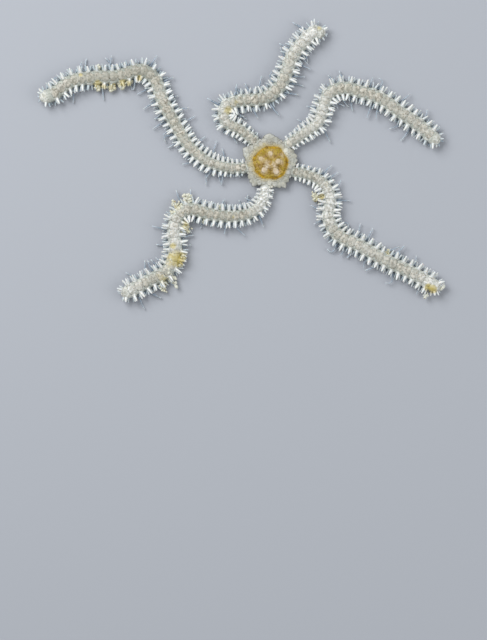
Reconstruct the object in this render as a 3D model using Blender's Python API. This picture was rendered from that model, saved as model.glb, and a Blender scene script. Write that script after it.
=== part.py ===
"""A brittle star at life size, lying on its underside with its five arms bent.

The disc is in the middle, with five jaws in the mouth under it. Each arm leaves a flat of the disc and
runs in four lengths that meet face to face. Side spines and tube feet are fused to the lengths that
they grow from. The script works in metres, with +Z up, and the animal rests on the plane z = 0.
"""

import math
import random

import bmesh
import bpy
import numpy as np
from mathutils import Vector

# Sizes, in metres
MM = 0.001
GAP = 0.3 * MM
UP = Vector((0.0, 0.0, 1.0))
DISC_CENTRE = Vector((6.9, -0.2, 0.0)) * MM

# The disc, seen from above: flats where the arms insert, and a pointed lobe between each two arms
INSERT_RADIUS = 5.75 * MM
INSERT_HALF_WIDTH = 1.85 * MM
LOBE_EDGE_RADIUS = 6.25 * MM
LOBE_TIP_RADIUS = 7.35 * MM
LOBE_POINTS = 8
LOBE_NICK = 0.25 * MM
LOBE_TURN = 1.5
DISC_HEIGHT = 3.4 * MM
TOP_FALL = 0.62 * MM
RIDGE_RADIUS = 4.15 * MM
RIDGE_RISE = 0.18 * MM
EDGE_HEIGHT = 1.9 * MM
UNDERSIDE_HEIGHT = 0.3 * MM
MOUTH_RADIUS = 2.85 * MM
MOUTH_CEILING = 1.7 * MM
SPOT_CIRCLE = 2.15 * MM
SPOT_RADIUS = 0.5 * MM
PLATE_RISE = 0.16 * MM
SHIELD_CIRCLE = 4.25 * MM
SHIELD_RADIUS = 1.05 * MM
PLATE_SUNK = 0.5 * MM
PLATE_EDGE = 0.06 * MM
SOLE_HALF_WIDTH = 0.5 * MM
SOLE_MARGIN = 0.25 * MM

# The jaws, wedges that point to the middle of the mouth
JAW_OUTER_RADIUS = 2.5 * MM
JAW_TIP_RADIUS = 0.95 * MM
JAW_WIDTH = 1.9 * MM
JAW_TIP_WIDTH = 0.55 * MM
JAW_HEIGHT = 1.3 * MM
TOOTH_LENGTH = 0.5 * MM
TOOTH_HEIGHT = 0.45 * MM

# The arms: cross-section, segments, spines and tube feet
HALF_WIDTH_AT_DISC = 1.5 * MM
HALF_WIDTH_FAR = 1.86 * MM
ARM_HEIGHT_AT_DISC = 2.45 * MM
ARM_HEIGHT_FAR = 2.7 * MM
SEGMENT_AT_DISC = 1.3 * MM
SEGMENT_FAR = 1.95 * MM
SWELL_PLACE = 0.7
JOINT_PINCH = 0.86
BLUNT_END = 2.2 * MM
TIP_LIFT = 0.5 * MM
LIFTED_LENGTH = 5.0 * MM
LAST_RING = 0.3 * MM
AXIS_LEVEL = 0.4
FULL_SIZE_AT = 0.5
SPINE_RADIUS = 0.37 * MM
SPINE_REACH = 1.85 * MM
SPINE_SUNK = 0.6 * MM
SPINE_FREE_RADIUS = 7.4 * MM
SPINE_SHOULDER = 0.8
SPINE_TAPER = 0.74
UPPER_SPINE = {"place": 0.5, "level": 0.6, "rise": 0.24, "reach": 1.0}
LOWER_SPINE = {"place": 0.12, "level": 0.4, "rise": -0.02, "reach": 0.85}
FAN_LEAN = 1.1
SEGMENTS_TO_FULL_SPINE = 9
SEGMENTS_PER_LOWER_SPINE = 4
FAN_LENGTH = 3.5 * MM
TUBE_FOOT_RADIUS = 0.36 * MM
TUBE_FOOT_REACH = 3.6 * MM
TUBE_FOOT_HEIGHT = 0.54 * MM
SEGMENTS_PER_TUBE_FOOT = 4
FIRST_TUBE_FOOT = 5
LAST_TUBE_FOOT = 4
TUBE_FOOT_BEND = 0.25 * MM
TUBE_FOOT_TIP = 0.3 * MM

# The cross-section of an arm as shares of its half width and its height, round from the left of the sole
SECTION = ((-0.3, 0.0), (0.3, 0.0), (1.0, 0.45), (0.62, 0.87), (0.0, 1.0), (-0.62, 0.87), (-1.0, 0.45))

# Where each arm leaves the disc, in degrees anticlockwise from +X, the points that its middle line then
# passes through, in millimetres from the disc's centre, and the points at which it is parted
ARMS = {
    "arm_1": {
        "leaves": 125.0,
        "route": ((-7.3, 8.1), (-10.8, 10.0), (-11.5, 12.6), (-10.3, 14.6), (-6.6, 15.5), (-1.8, 16.0),
                  (2.1, 18.7), (4.0, 22.3), (5.5, 26.5), (8.3, 30.1), (11.1, 32.5), (13.8, 32.0)),
        "parted_at": (3, 7, 9),
    },
    "arm_2": {
        "leaves": 46.0,
        "route": ((8.4, 7.3), (11.9, 10.0), (13.2, 13.6), (14.7, 17.1), (18.2, 18.6), (22.5, 17.7),
                  (27.6, 16.0), (32.2, 12.8), (37.1, 9.4), (42.2, 4.9)),
        "parted_at": (2, 5, 8),
    },
    "arm_3": {
        "leaves": -21.0,
        "route": ((9.3, -3.0), (13.1, -5.0), (15.0, -8.8), (14.6, -13.8), (17.0, -18.0), (22.2, -20.6),
                  (28.9, -24.4), (35.8, -27.7), (42.4, -31.6)),
        "parted_at": (2, 5, 7),
    },
    "arm_4": {
        "leaves": 260.0,
        "route": ((-1.7, -9.2), (-4.2, -12.2), (-9.0, -13.4), (-14.5, -12.9), (-19.6, -11.7), (-22.9, -13.2),
                  (-24.0, -17.0), (-23.7, -22.0), (-25.6, -26.8), (-30.9, -29.8), (-37.1, -33.1)),
        "parted_at": (2, 6, 9),
    },
    "arm_5": {
        "leaves": 192.0,
        "route": ((-10.4, -1.2), (-15.7, 0.4), (-20.4, 4.4), (-23.9, 10.1), (-26.8, 15.5), (-28.8, 20.8),
                  (-32.4, 23.0), (-38.0, 21.6), (-43.6, 21.3), (-49.5, 20.3), (-53.9, 17.3), (-57.5, 15.9)),
        "parted_at": (3, 6, 9),
    },
}
LENGTH_NAMES = ("root", "inner", "outer", "tip")

# Colours, as red, green and blue
ARM_COLOUR = (0.74, 0.71, 0.64)
DISC_COLOUR = (0.70, 0.52, 0.22)
JAW_COLOUR = (0.78, 0.62, 0.52)


# Meshes and materials

def loft(name, rings, last_point=None):
    """A closed mesh through rings of equal count, with flat ends, or with a point as its far end."""
    shape = bmesh.new()
    made = [[shape.verts.new(point) for point in ring] for ring in rings]
    count = len(rings[0])
    for near, far in zip(made, made[1:]):
        for i in range(count):
            j = (i + 1) % count
            shape.faces.new((near[i], near[j], far[j], far[i]))
    shape.faces.new(made[0])
    if last_point is None:
        shape.faces.new(made[-1])
    else:
        tip = shape.verts.new(last_point)
        for i in range(count):
            shape.faces.new((made[-1][i], made[-1][(i + 1) % count], tip))
    bmesh.ops.recalc_face_normals(shape, faces=shape.faces)
    bmesh.ops.triangulate(shape, faces=shape.faces)
    mesh = bpy.data.meshes.new(name)
    shape.to_mesh(mesh)
    shape.free()
    thing = bpy.data.objects.new(name, mesh)
    bpy.context.scene.collection.objects.link(thing)
    return thing


def finish(thing, colour, roughness=0.55):
    """Gives a node its own material."""
    material = bpy.data.materials.new(thing.name)
    material.use_nodes = True
    shader = material.node_tree.nodes["Principled BSDF"]
    shader.inputs["Base Color"].default_value = (*colour, 1.0)
    shader.inputs["Roughness"].default_value = roughness
    shader.inputs["Metallic"].default_value = 0.0
    thing.data.materials.clear()
    thing.data.materials.append(material)


def keep_largest_surface(mesh):
    """Removes all but the closed surface with the most faces."""
    shape = bmesh.new()
    shape.from_mesh(mesh)
    left = set(shape.verts)
    surfaces = []
    while left:
        reached = {left.pop()}
        edge_of_search = list(reached)
        while edge_of_search:
            vertex = edge_of_search.pop()
            for edge in vertex.link_edges:
                other = edge.other_vert(vertex)
                if other not in reached:
                    reached.add(other)
                    edge_of_search.append(other)
        left -= reached
        surfaces.append(reached)
    surfaces.sort(key=len)
    for scrap in surfaces[:-1]:
        bmesh.ops.delete(shape, geom=list(scrap), context="VERTS")
    shape.to_mesh(mesh)
    shape.free()


def fuse(body, pieces):
    """Joins the pieces to the body with one union, and removes them."""
    if not pieces:
        return body
    group = bpy.data.collections.new(body.name + "_pieces")
    bpy.context.scene.collection.children.link(group)
    for piece in pieces:
        bpy.context.scene.collection.objects.unlink(piece)
        group.objects.link(piece)
    union = body.modifiers.new("union", "BOOLEAN")
    union.operation = "UNION"
    union.operand_type = "COLLECTION"
    union.collection = group
    union.solver = "EXACT"
    state = bpy.context.evaluated_depsgraph_get()
    joined = bpy.data.meshes.new_from_object(body.evaluated_get(state))
    body.modifiers.remove(union)
    body.data = joined
    for piece in pieces:
        bpy.data.objects.remove(piece)
    bpy.data.collections.remove(group)
    keep_largest_surface(body.data)
    return body


# Curves

def ease(share):
    """Rises smoothly from 0 to 1 as the share does."""
    share = min(max(share, 0.0), 1.0)
    return share * share * (3.0 - 2.0 * share)


def on_circle(degrees, radius, height=0.0):
    """A point at that angle and distance from the disc's centre."""
    angle = math.radians(degrees)
    return DISC_CENTRE + Vector((math.cos(angle) * radius, math.sin(angle) * radius, height))


class Route:
    """An arm's middle line on the floor: a smooth curve through its points, measured by length."""

    steps = 24
    look_aside = 0.5 * MM

    def __init__(self, leaves, waypoints):
        start = on_circle(leaves, INSERT_RADIUS + GAP)
        points = [(start.x, start.y)]
        points += [(DISC_CENTRE.x + x * MM, DISC_CENTRE.y + y * MM) for x, y in waypoints]
        points = np.array(points)
        padded = np.vstack([2 * points[0] - points[1], points, 2 * points[-1] - points[-2]])
        share = np.linspace(0.0, 1.0, self.steps, endpoint=False)[:, None]
        runs = []
        for a, b, c, d in zip(padded, padded[1:], padded[2:], padded[3:]):
            bend = (2 * a - 5 * b + 4 * c - d) * share ** 2 + (3 * b - a - 3 * c + d) * share ** 3
            runs.append(0.5 * (2 * b + (c - a) * share + bend))
        self.line = np.vstack(runs + [points[-1:]])
        strides = np.linalg.norm(np.diff(self.line, axis=0), axis=1)
        self.measure = np.concatenate([[0.0], np.cumsum(strides)])
        self.length = float(self.measure[-1])
        self.first_heading = Vector((start.x, start.y, 0.0)) - DISC_CENTRE
        self.first_heading.normalize()

    def point(self, along):
        """The point at that length along the line, carried on straight past the far end."""
        past = max(along - self.length, 0.0)
        x = float(np.interp(along, self.measure, self.line[:, 0]))
        y = float(np.interp(along, self.measure, self.line[:, 1]))
        last = self.line[-1] - self.line[-2]
        last = last / np.linalg.norm(last)
        return Vector((x + last[0] * past, y + last[1] * past, 0.0))

    def heading(self, along):
        """The direction in which the arm runs there, away from the disc."""
        if along <= 0.0:
            return self.first_heading.copy()
        ahead = self.point(min(along + self.look_aside, self.length))
        behind = self.point(max(along - self.look_aside, 0.0))
        return (ahead - behind).normalized()

    def waypoint(self, index):
        """The length along the line at which it passes that point of its list."""
        return float(self.measure[index * self.steps])


# Keeping clear of other nodes

class Surroundings:
    """What is in place already, so that a new spine or tube foot can be kept clear of other nodes."""

    sample_step = 0.25 * MM

    def __init__(self):
        self.points = []
        self.point_nodes = []
        self.boxes = []
        self.box_nodes = []

    def samples(self, path):
        """Points close together along the path."""
        found = []
        for near, far in zip(path, path[1:]):
            count = max(2, math.ceil((far - near).length / self.sample_step))
            found += [tuple(near.lerp(far, step / count)) for step in range(count + 1)]
        return np.array(found)

    def add_path(self, node, path, radius):
        """Puts a spine or tube foot in place."""
        for point in self.samples(path):
            self.points.append((*point, radius))
            self.point_nodes.append(node)

    def add_box(self, node, start, heading, length, half_width):
        """Puts a stretch of an arm's body in place, seen from above."""
        self.boxes.append((start.x, start.y, heading.x, heading.y, length, half_width))
        self.box_nodes.append(node)

    def is_clear(self, node, path, radius):
        """Whether a rod along the path keeps the gap to the disc and to all that other nodes hold."""
        samples = self.samples(path)
        for x, y, _ in samples:
            reach = math.hypot(x - DISC_CENTRE.x, y - DISC_CENTRE.y)
            angle = math.degrees(math.atan2(y - DISC_CENTRE.y, x - DISC_CENTRE.x))
            if reach < disc_radius(angle) + radius + GAP:
                return False
        boxes = np.array([box for box, owner in zip(self.boxes, self.box_nodes) if owner != node])
        away = samples[:, None, :2] - boxes[None, :, 0:2]
        along = away[..., 0] * boxes[:, 2] + away[..., 1] * boxes[:, 3]
        across = np.abs(away[..., 1] * boxes[:, 2] - away[..., 0] * boxes[:, 3])
        past_end = np.maximum(np.maximum(-along, along - boxes[:, 4]), 0.0)
        past_side = np.maximum(across - boxes[:, 5], 0.0)
        if np.hypot(past_end, past_side).min() < radius + GAP:
            return False
        points = [point for point, owner in zip(self.points, self.point_nodes) if owner != node]
        if not points:
            return True
        points = np.array(points)
        distances = np.linalg.norm(samples[:, None, :] - points[None, :, :3], axis=2)
        return bool((distances - points[:, 3] - radius).min() >= GAP)


# The disc

def arm_angles():
    """The directions of the arms in rising order, in degrees from 0 to 360."""
    return sorted(arm["leaves"] % 360.0 for arm in ARMS.values())


def between_arms():
    """The directions half way between neighbouring arms."""
    angles = arm_angles()
    return [(near + far) / 2 for near, far in zip(angles, angles[1:] + [angles[0] + 360.0])]


def lobe_reach(share):
    """How far a lobe reaches, with share from -1 to 1 across it: a point with a nick on each side."""
    point = (1.0 - abs(share)) ** 1.2
    nick = LOBE_NICK * math.sin(math.pi * abs(share)) ** 8
    return LOBE_EDGE_RADIUS + (LOBE_TIP_RADIUS - LOBE_EDGE_RADIUS) * point - nick


def disc_outline():
    """The columns of the disc: angle in degrees, radius of the edge, and whether it is on a lobe."""
    columns = []
    angles = arm_angles()
    corner = math.degrees(math.atan2(INSERT_HALF_WIDTH, INSERT_RADIUS))
    for angle, following in zip(angles, angles[1:] + [angles[0] + 360.0]):
        for side in (-1.0, 0.0, 1.0):
            radius = math.hypot(INSERT_RADIUS, INSERT_HALF_WIDTH * side)
            columns.append((angle + corner * side, radius, False))
        first = angle + corner + LOBE_TURN
        last = following - corner - LOBE_TURN
        for step in range(LOBE_POINTS):
            share = step / (LOBE_POINTS - 1)
            columns.append((first + (last - first) * share, lobe_reach(2.0 * share - 1.0), True))
    return columns


def disc_radius(degrees):
    """The disc's reach in that direction: its flat where an arm leaves it, or the tip of a lobe."""
    for angle in arm_angles():
        away = (degrees - angle + 180.0) % 360.0 - 180.0
        if abs(away) < math.degrees(math.atan2(INSERT_HALF_WIDTH, INSERT_RADIUS)):
            return INSERT_RADIUS / math.cos(math.radians(away))
    return LOBE_TIP_RADIUS


def disc_top(radius):
    """The height of the disc's upper side at that distance from its middle, inside the ridge."""
    return DISC_HEIGHT - TOP_FALL * (radius / RIDGE_RADIUS) ** 2


def plate(name, centre, radius, heights, shares, sides=6):
    """A raised plate: rings at the heights, each a share of the radius."""
    rings = []
    for height, share in zip(heights, shares):
        ring = []
        for corner in range(sides):
            angle = math.tau * (corner + 0.3) / sides
            ring.append(Vector((centre.x + math.cos(angle) * radius * share,
                                centre.y + math.sin(angle) * radius * share, height)))
        rings.append(ring)
    return loft(name, rings)


def disc_plates():
    """The plates on the upper side, and under the disc the mouth's shields and the arms' first plates."""
    pieces = []
    spots = [(on_circle(angle, SPOT_CIRCLE), SPOT_RADIUS, disc_top(SPOT_CIRCLE)) for angle in between_arms()]
    spots.append((DISC_CENTRE, SPOT_RADIUS * 1.2, disc_top(0.0)))
    for centre, radius, top in spots:
        heights = (top - PLATE_SUNK, top + PLATE_EDGE, top + PLATE_RISE)
        pieces.append(plate("spot", centre, radius, heights, (1.0, 1.0, 0.6)))
    for angle in between_arms():
        heights = (0.0, UNDERSIDE_HEIGHT * 0.8, UNDERSIDE_HEIGHT + PLATE_SUNK)
        centre = on_circle(angle, SHIELD_CIRCLE)
        pieces.append(plate("shield", centre, SHIELD_RADIUS, heights, (0.8, 1.0, 1.0)))
    for angle in arm_angles():
        along = Vector((math.cos(math.radians(angle)), math.sin(math.radians(angle)), 0.0))
        across = UP.cross(along) * SOLE_HALF_WIDTH
        rings = []
        for radius in (MOUTH_RADIUS + SOLE_MARGIN, INSERT_RADIUS - SOLE_MARGIN / 2):
            middle = DISC_CENTRE + along * radius
            top = UP * (UNDERSIDE_HEIGHT + PLATE_SUNK)
            rings.append([middle - across, middle + across, middle + across + top, middle - across + top])
        pieces.append(loft("first_plates", rings))
    return pieces


def make_disc():
    """The disc: rings from the top's middle out over the edge and in to the ceiling of the mouth."""
    columns = disc_outline()
    inner = [(radius, disc_top(radius)) for radius in (1.2 * MM, 2.8 * MM, RIDGE_RADIUS - 0.4 * MM)]
    inner.append((RIDGE_RADIUS, disc_top(RIDGE_RADIUS) + RIDGE_RISE))
    inner.append((RIDGE_RADIUS + 0.35 * MM, disc_top(RIDGE_RADIUS) - 0.15 * MM))
    outer = [
        (0.92, EDGE_HEIGHT + 0.35 * MM, ARM_HEIGHT_AT_DISC),
        (1.0, EDGE_HEIGHT, ARM_HEIGHT_AT_DISC * 0.8),
        (0.99, EDGE_HEIGHT * 0.5, ARM_HEIGHT_AT_DISC * 0.4),
        (0.9, UNDERSIDE_HEIGHT, UNDERSIDE_HEIGHT),
    ]
    under = [(MOUTH_RADIUS, UNDERSIDE_HEIGHT), (MOUTH_RADIUS, MOUTH_CEILING)]
    rings = []
    for radius, height in inner:
        rings.append([on_circle(angle, radius, height) for angle, edge, on_lobe in columns])
    for share, lobe_height, arm_height in outer:
        ring = []
        for angle, edge, on_lobe in columns:
            reach = edge * share if on_lobe else edge
            ring.append(on_circle(angle, reach, lobe_height if on_lobe else arm_height))
        rings.append(ring)
    for radius, height in under:
        rings.append([on_circle(angle, radius, height) for angle, edge, on_lobe in columns])
    disc = fuse(loft("disc", rings), disc_plates())
    finish(disc, DISC_COLOUR, 0.45)


# The jaws

def make_jaws():
    """Five wedges in the mouth, between the arms, each with a tooth towards the middle."""
    order = sorted(between_arms(), key=lambda angle: (ARMS["arm_1"]["leaves"] - angle) % 360.0)
    for number, angle in enumerate(order, start=1):
        inwards = Vector((-math.cos(math.radians(angle)), -math.sin(math.radians(angle)), 0.0))
        across = UP.cross(inwards)
        rings = []
        for share in (0.0, 0.35, 0.75, 1.0):
            radius = JAW_OUTER_RADIUS + (JAW_TIP_RADIUS - JAW_OUTER_RADIUS) * share
            half = 0.5 * (JAW_WIDTH + (JAW_TIP_WIDTH - JAW_WIDTH) * share)
            top = JAW_HEIGHT * (1.0 - 0.3 * share)
            middle = DISC_CENTRE - inwards * radius
            section = ((-0.5, 0.0), (0.5, 0.0), (1.0, 0.4), (0.6, 1.0), (-0.6, 1.0), (-1.0, 0.4))
            rings.append([middle + across * half * x + UP * top * z for x, z in section])
        tooth = DISC_CENTRE - inwards * (JAW_TIP_RADIUS - TOOTH_LENGTH) + UP * TOOTH_HEIGHT
        jaw = loft("jaw_%d" % number, rings, tooth)
        finish(jaw, JAW_COLOUR, 0.5)


# The arms

class Arm:
    """One arm: its middle line, its segments and the lengths that it is parted into."""

    def __init__(self, name):
        self.name = name
        self.route = Route(ARMS[name]["leaves"], ARMS[name]["route"])
        self.total = self.route.length
        self.ends = [0.0]
        while self.ends[-1] < self.total - SEGMENT_FAR:
            share = self.ends[-1] / self.total
            longer = (SEGMENT_FAR - SEGMENT_AT_DISC) * ease(share / FULL_SIZE_AT)
            self.ends.append(self.ends[-1] + SEGMENT_AT_DISC + longer)
        self.ends[-1] = self.total
        parted = [self.route.waypoint(index) for index in ARMS[name]["parted_at"]]
        nearest = [min(range(len(self.ends)), key=lambda i: abs(self.ends[i] - place)) for place in parted]
        self.cuts = [0] + nearest + [len(self.ends) - 1]

    def half_width(self, along):
        """Half the arm's width there, without its blunt end."""
        wider = HALF_WIDTH_FAR - HALF_WIDTH_AT_DISC
        return HALF_WIDTH_AT_DISC + wider * ease(along / self.total / FULL_SIZE_AT)

    def height(self, along):
        """The arm's height there, without its blunt end."""
        higher = ARM_HEIGHT_FAR - ARM_HEIGHT_AT_DISC
        return ARM_HEIGHT_AT_DISC + higher * ease(along / self.total / FULL_SIZE_AT)

    def lift(self, along):
        """How far the arm is lifted off the floor there."""
        return TIP_LIFT * ease((along - self.total + LIFTED_LENGTH) / LIFTED_LENGTH)

    def blunt(self, along):
        """The share of its full size that the blunt end leaves the arm there."""
        past = min(max(along - self.total + BLUNT_END, 0.0) / BLUNT_END, 1.0)
        return math.sqrt(1.0 - past * past)

    def ring(self, along, pinch, cut=None):
        """The cross-section there, square to the middle line, or to the cut that it lies beside."""
        heading = self.route.heading(along if cut is None else cut)
        left = UP.cross(heading)
        middle = self.route.point(along)
        if cut is not None:
            middle = self.route.point(cut) + heading * (along - cut)
        blunt = self.blunt(along)
        wide = self.half_width(along) * pinch * blunt
        high = self.height(along) * (pinch + 1.0) / 2.0
        ring = []
        for across, up in SECTION:
            level = high * (AXIS_LEVEL + (up - AXIS_LEVEL) * blunt) + self.lift(along)
            ring.append(middle - left * wide * across + UP * level)
        return ring

    def body(self, node, first, last):
        """The bare length between two cuts, given by the numbers of the segments' ends."""
        start = self.ends[first] if first == 0 else self.ends[first] + GAP / 2
        rings = [self.ring(start, JOINT_PINCH, self.ends[first])]
        for near, far in zip(self.ends[first:last], self.ends[first + 1:last + 1]):
            rings.append(self.ring(near + (far - near) * SWELL_PLACE, 1.0))
            if far < self.ends[last]:
                rings.append(self.ring(far, JOINT_PINCH))
        if last < len(self.ends) - 1:
            rings.append(self.ring(self.ends[last] - GAP / 2, JOINT_PINCH, self.ends[last]))
            return loft(node, rings)
        rings.append(self.ring(self.total - LAST_RING, 1.0))
        end = self.route.point(self.total) + UP * (self.height(self.total) * AXIS_LEVEL + TIP_LIFT)
        return loft(node, rings, end)

    def nodes(self):
        """The node's name and the numbers of its first and last segment ends, for each length."""
        for part, first, last in zip(LENGTH_NAMES, self.cuts, self.cuts[1:]):
            yield self.name + "_" + part, first, last

    def occupy(self, surroundings):
        """Puts the bare lengths in place among the surroundings."""
        for node, first, last in self.nodes():
            for near, far in zip(self.ends[first:last], self.ends[first + 1:last + 1]):
                start = self.route.point(near)
                run = self.route.point(far) - start
                surroundings.add_box(node, start, run.normalized(), run.length, self.half_width(far))

    def outgrowth(self, along, side, inset, level, sunk, reach, lean, rise):
        """A rod's path from inside the arm's flank: root, middle and tip."""
        heading = self.route.heading(along)
        outwards = UP.cross(heading) * side
        root = self.route.point(along) + outwards * (self.half_width(along) * self.blunt(along) - inset)
        root += UP * (level + self.lift(along))
        direction = (outwards + heading * lean + UP * rise).normalized()
        tip = root + direction * (sunk + reach)
        return [root, root.lerp(tip, SPINE_SHOULDER), tip]


def rod(name, path, radii, last_point):
    """A four-sided rod along the path, its flats above and below, with a point as its end."""
    rings = []
    for index, point in enumerate(path):
        ahead = path[min(index + 1, len(path) - 1)]
        behind = path[max(index - 1, 0)]
        direction = (ahead - behind).normalized()
        across = direction.cross(UP).normalized()
        over = across.cross(direction).normalized()
        ring = []
        for corner in range(4):
            angle = math.tau * (corner + 0.5) / 4
            ring.append(point + (across * math.cos(angle) + over * math.sin(angle)) * radii[index])
        rings.append(ring)
    return loft(name, rings, last_point)


def clear_path(surroundings, node, radius, make_path):
    """The longest and straightest of a few paths that keeps clear, or none."""
    for share in (1.0, 0.8, 0.6, 0.45):
        for turn in (0.0, -0.3, 0.3, -0.6, 0.6):
            path = make_path(share, turn)
            if surroundings.is_clear(node, path, radius):
                surroundings.add_path(node, path, radius)
                return path
    return None


def side_spines(arm, node, first, last, surroundings, chance):
    """An upper spine on each side of each segment, lower ones by turns, and a fan at the arm's end."""
    pieces = []
    for number in range(first, last):
        near, far = arm.ends[number:number + 2]
        rooted = [(UPPER_SPINE, -1.0), (UPPER_SPINE, 1.0)]
        if number > first and number % SEGMENTS_PER_LOWER_SPINE in (1, 3):
            rooted.append((LOWER_SPINE, 1.0 if number % SEGMENTS_PER_LOWER_SPINE == 1 else -1.0))
        for row, side in rooted:
            along = near + (far - near) * row["place"]
            if (arm.route.point(along) - DISC_CENTRE).length < SPINE_FREE_RADIUS:
                continue
            level = arm.height(along) * row["level"]
            rise = row["rise"] + chance.uniform(-0.06, 0.06)
            grown = ease(0.5 + 0.5 * number / SEGMENTS_TO_FULL_SPINE)
            reach = SPINE_REACH * row["reach"] * chance.uniform(0.85, 1.1) * grown
            fan = FAN_LEAN * ease(1.0 - (arm.total - along) / FAN_LENGTH)
            lean = chance.uniform(-0.12, 0.12) + fan
            path = clear_path(surroundings, node, SPINE_RADIUS, lambda share, turn: arm.outgrowth(
                along, side, SPINE_SUNK, level, SPINE_SUNK, reach * share, lean + turn, rise))
            if path:
                pieces.append(rod("spine", path[:2], (SPINE_RADIUS, SPINE_RADIUS * SPINE_TAPER), path[2]))
    return pieces


def tube_feet(arm, node, first, last, surroundings, chance):
    """Slender feet from beside the sole, a few segments apart and on alternate sides."""
    pieces = []
    for number in range(first, last):
        on_left = number % SEGMENTS_PER_TUBE_FOOT == 1
        on_right = number % SEGMENTS_PER_TUBE_FOOT == 3
        too_near_an_end = number < FIRST_TUBE_FOOT or number > len(arm.ends) - LAST_TUBE_FOOT
        if too_near_an_end or not (on_left or on_right):
            continue
        side = 1.0 if on_left else -1.0
        along = arm.ends[number] + GAP
        inset = arm.half_width(along) / 2
        reach = TUBE_FOOT_REACH * chance.uniform(0.8, 1.1)
        lean = chance.uniform(-0.35, 0.45)
        path = clear_path(surroundings, node, TUBE_FOOT_RADIUS, lambda share, turn: arm.outgrowth(
            along, side, inset, TUBE_FOOT_HEIGHT, inset, reach * share, lean + turn, 0.0))
        if path:
            path[1] = path[1] + arm.route.heading(along) * TUBE_FOOT_BEND
            end = path[2] + (path[2] - path[1]).normalized() * TUBE_FOOT_TIP
            pieces.append(rod("tube_foot", path, [TUBE_FOOT_RADIUS] * 3, end))
    return pieces


def make_arms():
    """The five arms, each length with its spines and tube feet fused to it."""
    surroundings = Surroundings()
    arms = [Arm(name) for name in ARMS]
    for arm in arms:
        arm.occupy(surroundings)
    for arm in arms:
        chance = random.Random(arm.name)
        for node, first, last in arm.nodes():
            pieces = side_spines(arm, node, first, last, surroundings, chance)
            pieces += tube_feet(arm, node, first, last, surroundings, chance)
            length = fuse(arm.body(node, first, last), pieces)
            finish(length, ARM_COLOUR)


for thing in list(bpy.data.objects):
    bpy.data.objects.remove(thing)
make_disc()
make_jaws()
make_arms()
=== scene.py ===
# %% [markdown]
# A brittle star at life size, seen from above with its five arms bent. The real animal is a flat disc of
# chalky plates with five long arms, and each arm is a row of jointed segments with a comb of spines on
# both sides. The solids of the imported model say where everything lies. This script gives them their
# finished surfaces: a skin for each arm and one for the disc, then plates, spines, soft feet, crumbs,
# scales and the jaws.

# %% Load the imported model
import math

import bmesh
import bpy
import numpy as np
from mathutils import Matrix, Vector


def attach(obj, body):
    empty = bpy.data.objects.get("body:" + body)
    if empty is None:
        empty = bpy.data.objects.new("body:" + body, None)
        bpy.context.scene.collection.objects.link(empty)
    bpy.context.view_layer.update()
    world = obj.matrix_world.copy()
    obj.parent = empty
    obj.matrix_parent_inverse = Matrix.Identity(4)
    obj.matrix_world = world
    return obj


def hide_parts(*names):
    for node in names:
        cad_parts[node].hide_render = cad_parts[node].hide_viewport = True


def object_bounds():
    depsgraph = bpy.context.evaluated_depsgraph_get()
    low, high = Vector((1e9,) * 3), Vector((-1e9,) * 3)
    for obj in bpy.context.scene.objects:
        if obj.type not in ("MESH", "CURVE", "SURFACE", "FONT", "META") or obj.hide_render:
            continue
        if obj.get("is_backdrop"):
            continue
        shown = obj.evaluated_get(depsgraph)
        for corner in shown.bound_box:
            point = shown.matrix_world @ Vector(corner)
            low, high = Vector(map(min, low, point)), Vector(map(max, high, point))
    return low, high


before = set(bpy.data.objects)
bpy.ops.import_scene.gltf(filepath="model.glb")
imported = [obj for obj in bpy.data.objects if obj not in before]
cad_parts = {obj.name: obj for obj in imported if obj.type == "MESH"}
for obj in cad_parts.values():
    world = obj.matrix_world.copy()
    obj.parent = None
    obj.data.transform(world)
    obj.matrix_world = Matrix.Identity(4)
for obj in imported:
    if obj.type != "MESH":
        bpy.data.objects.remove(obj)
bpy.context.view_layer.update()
MM = 0.001

# %% [markdown]
# The photo looks straight down. One of its pixels is a quarter of a millimetre on the animal, and the
# middle of the disc lies at one known pixel, so any place in the photo has a place on the floor. The
# camera hangs above the middle of the photo, and its lens is chosen so that the photo's height fills
# the frame.

# %% Photo places and the camera
PIXEL = 0.25 * MM
PHOTO_WIDTH = 487
PHOTO_HEIGHT = 640
DISC_PIXEL = (270.0, 163.0)
DISC_PLACE = (6.9 * MM, -0.2 * MM)
CAMERA_HEIGHT = 0.8
SENSOR = 36.0


def on_floor(pixel):
    """The place on the floor of a pixel: its offset from the disc's pixel times the size of a pixel."""
    x = DISC_PLACE[0] + (pixel[0] - DISC_PIXEL[0]) * PIXEL
    y = DISC_PLACE[1] - (pixel[1] - DISC_PIXEL[1]) * PIXEL
    return x, y


camera = bpy.data.objects.new("camera", bpy.data.cameras.new("camera"))
camera.data.sensor_width = SENSOR
camera.data.lens = SENSOR * CAMERA_HEIGHT / (PHOTO_HEIGHT * PIXEL)
camera.data.clip_start = 0.01
camera.location = (*on_floor((PHOTO_WIDTH / 2, PHOTO_HEIGHT / 2)), CAMERA_HEIGHT)
bpy.context.scene.collection.objects.link(camera)
bpy.context.scene.camera = camera
print("lens", camera.data.lens, "camera at", [round(value, 4) for value in camera.location])

# %% [markdown]
# Every surface here is worked out as whole arrays of points and handed to Blender at once. The helpers
# give the faces of a grid, which is what a lofted or turned surface is, close its ends with fans of
# triangles, and put points, faces and the numbers that the materials read into a mesh.


# %% Helpers: grids, fans and meshes
def ease(share):
    """Rises smoothly from 0 to 1 as the share does: three times its square less twice its cube."""
    share = np.clip(share, 0.0, 1.0)
    return share * share * (3.0 - 2.0 * share)


def unit(vectors):
    """Vectors of length 1 in the same directions."""
    return vectors / np.linalg.norm(vectors, axis=-1, keepdims=True)


def squarer(wave, power):
    """A cosine or sine whose size is raised to a power below 1, which makes an oval squarer."""
    return np.sign(wave) * np.abs(wave) ** power


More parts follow.
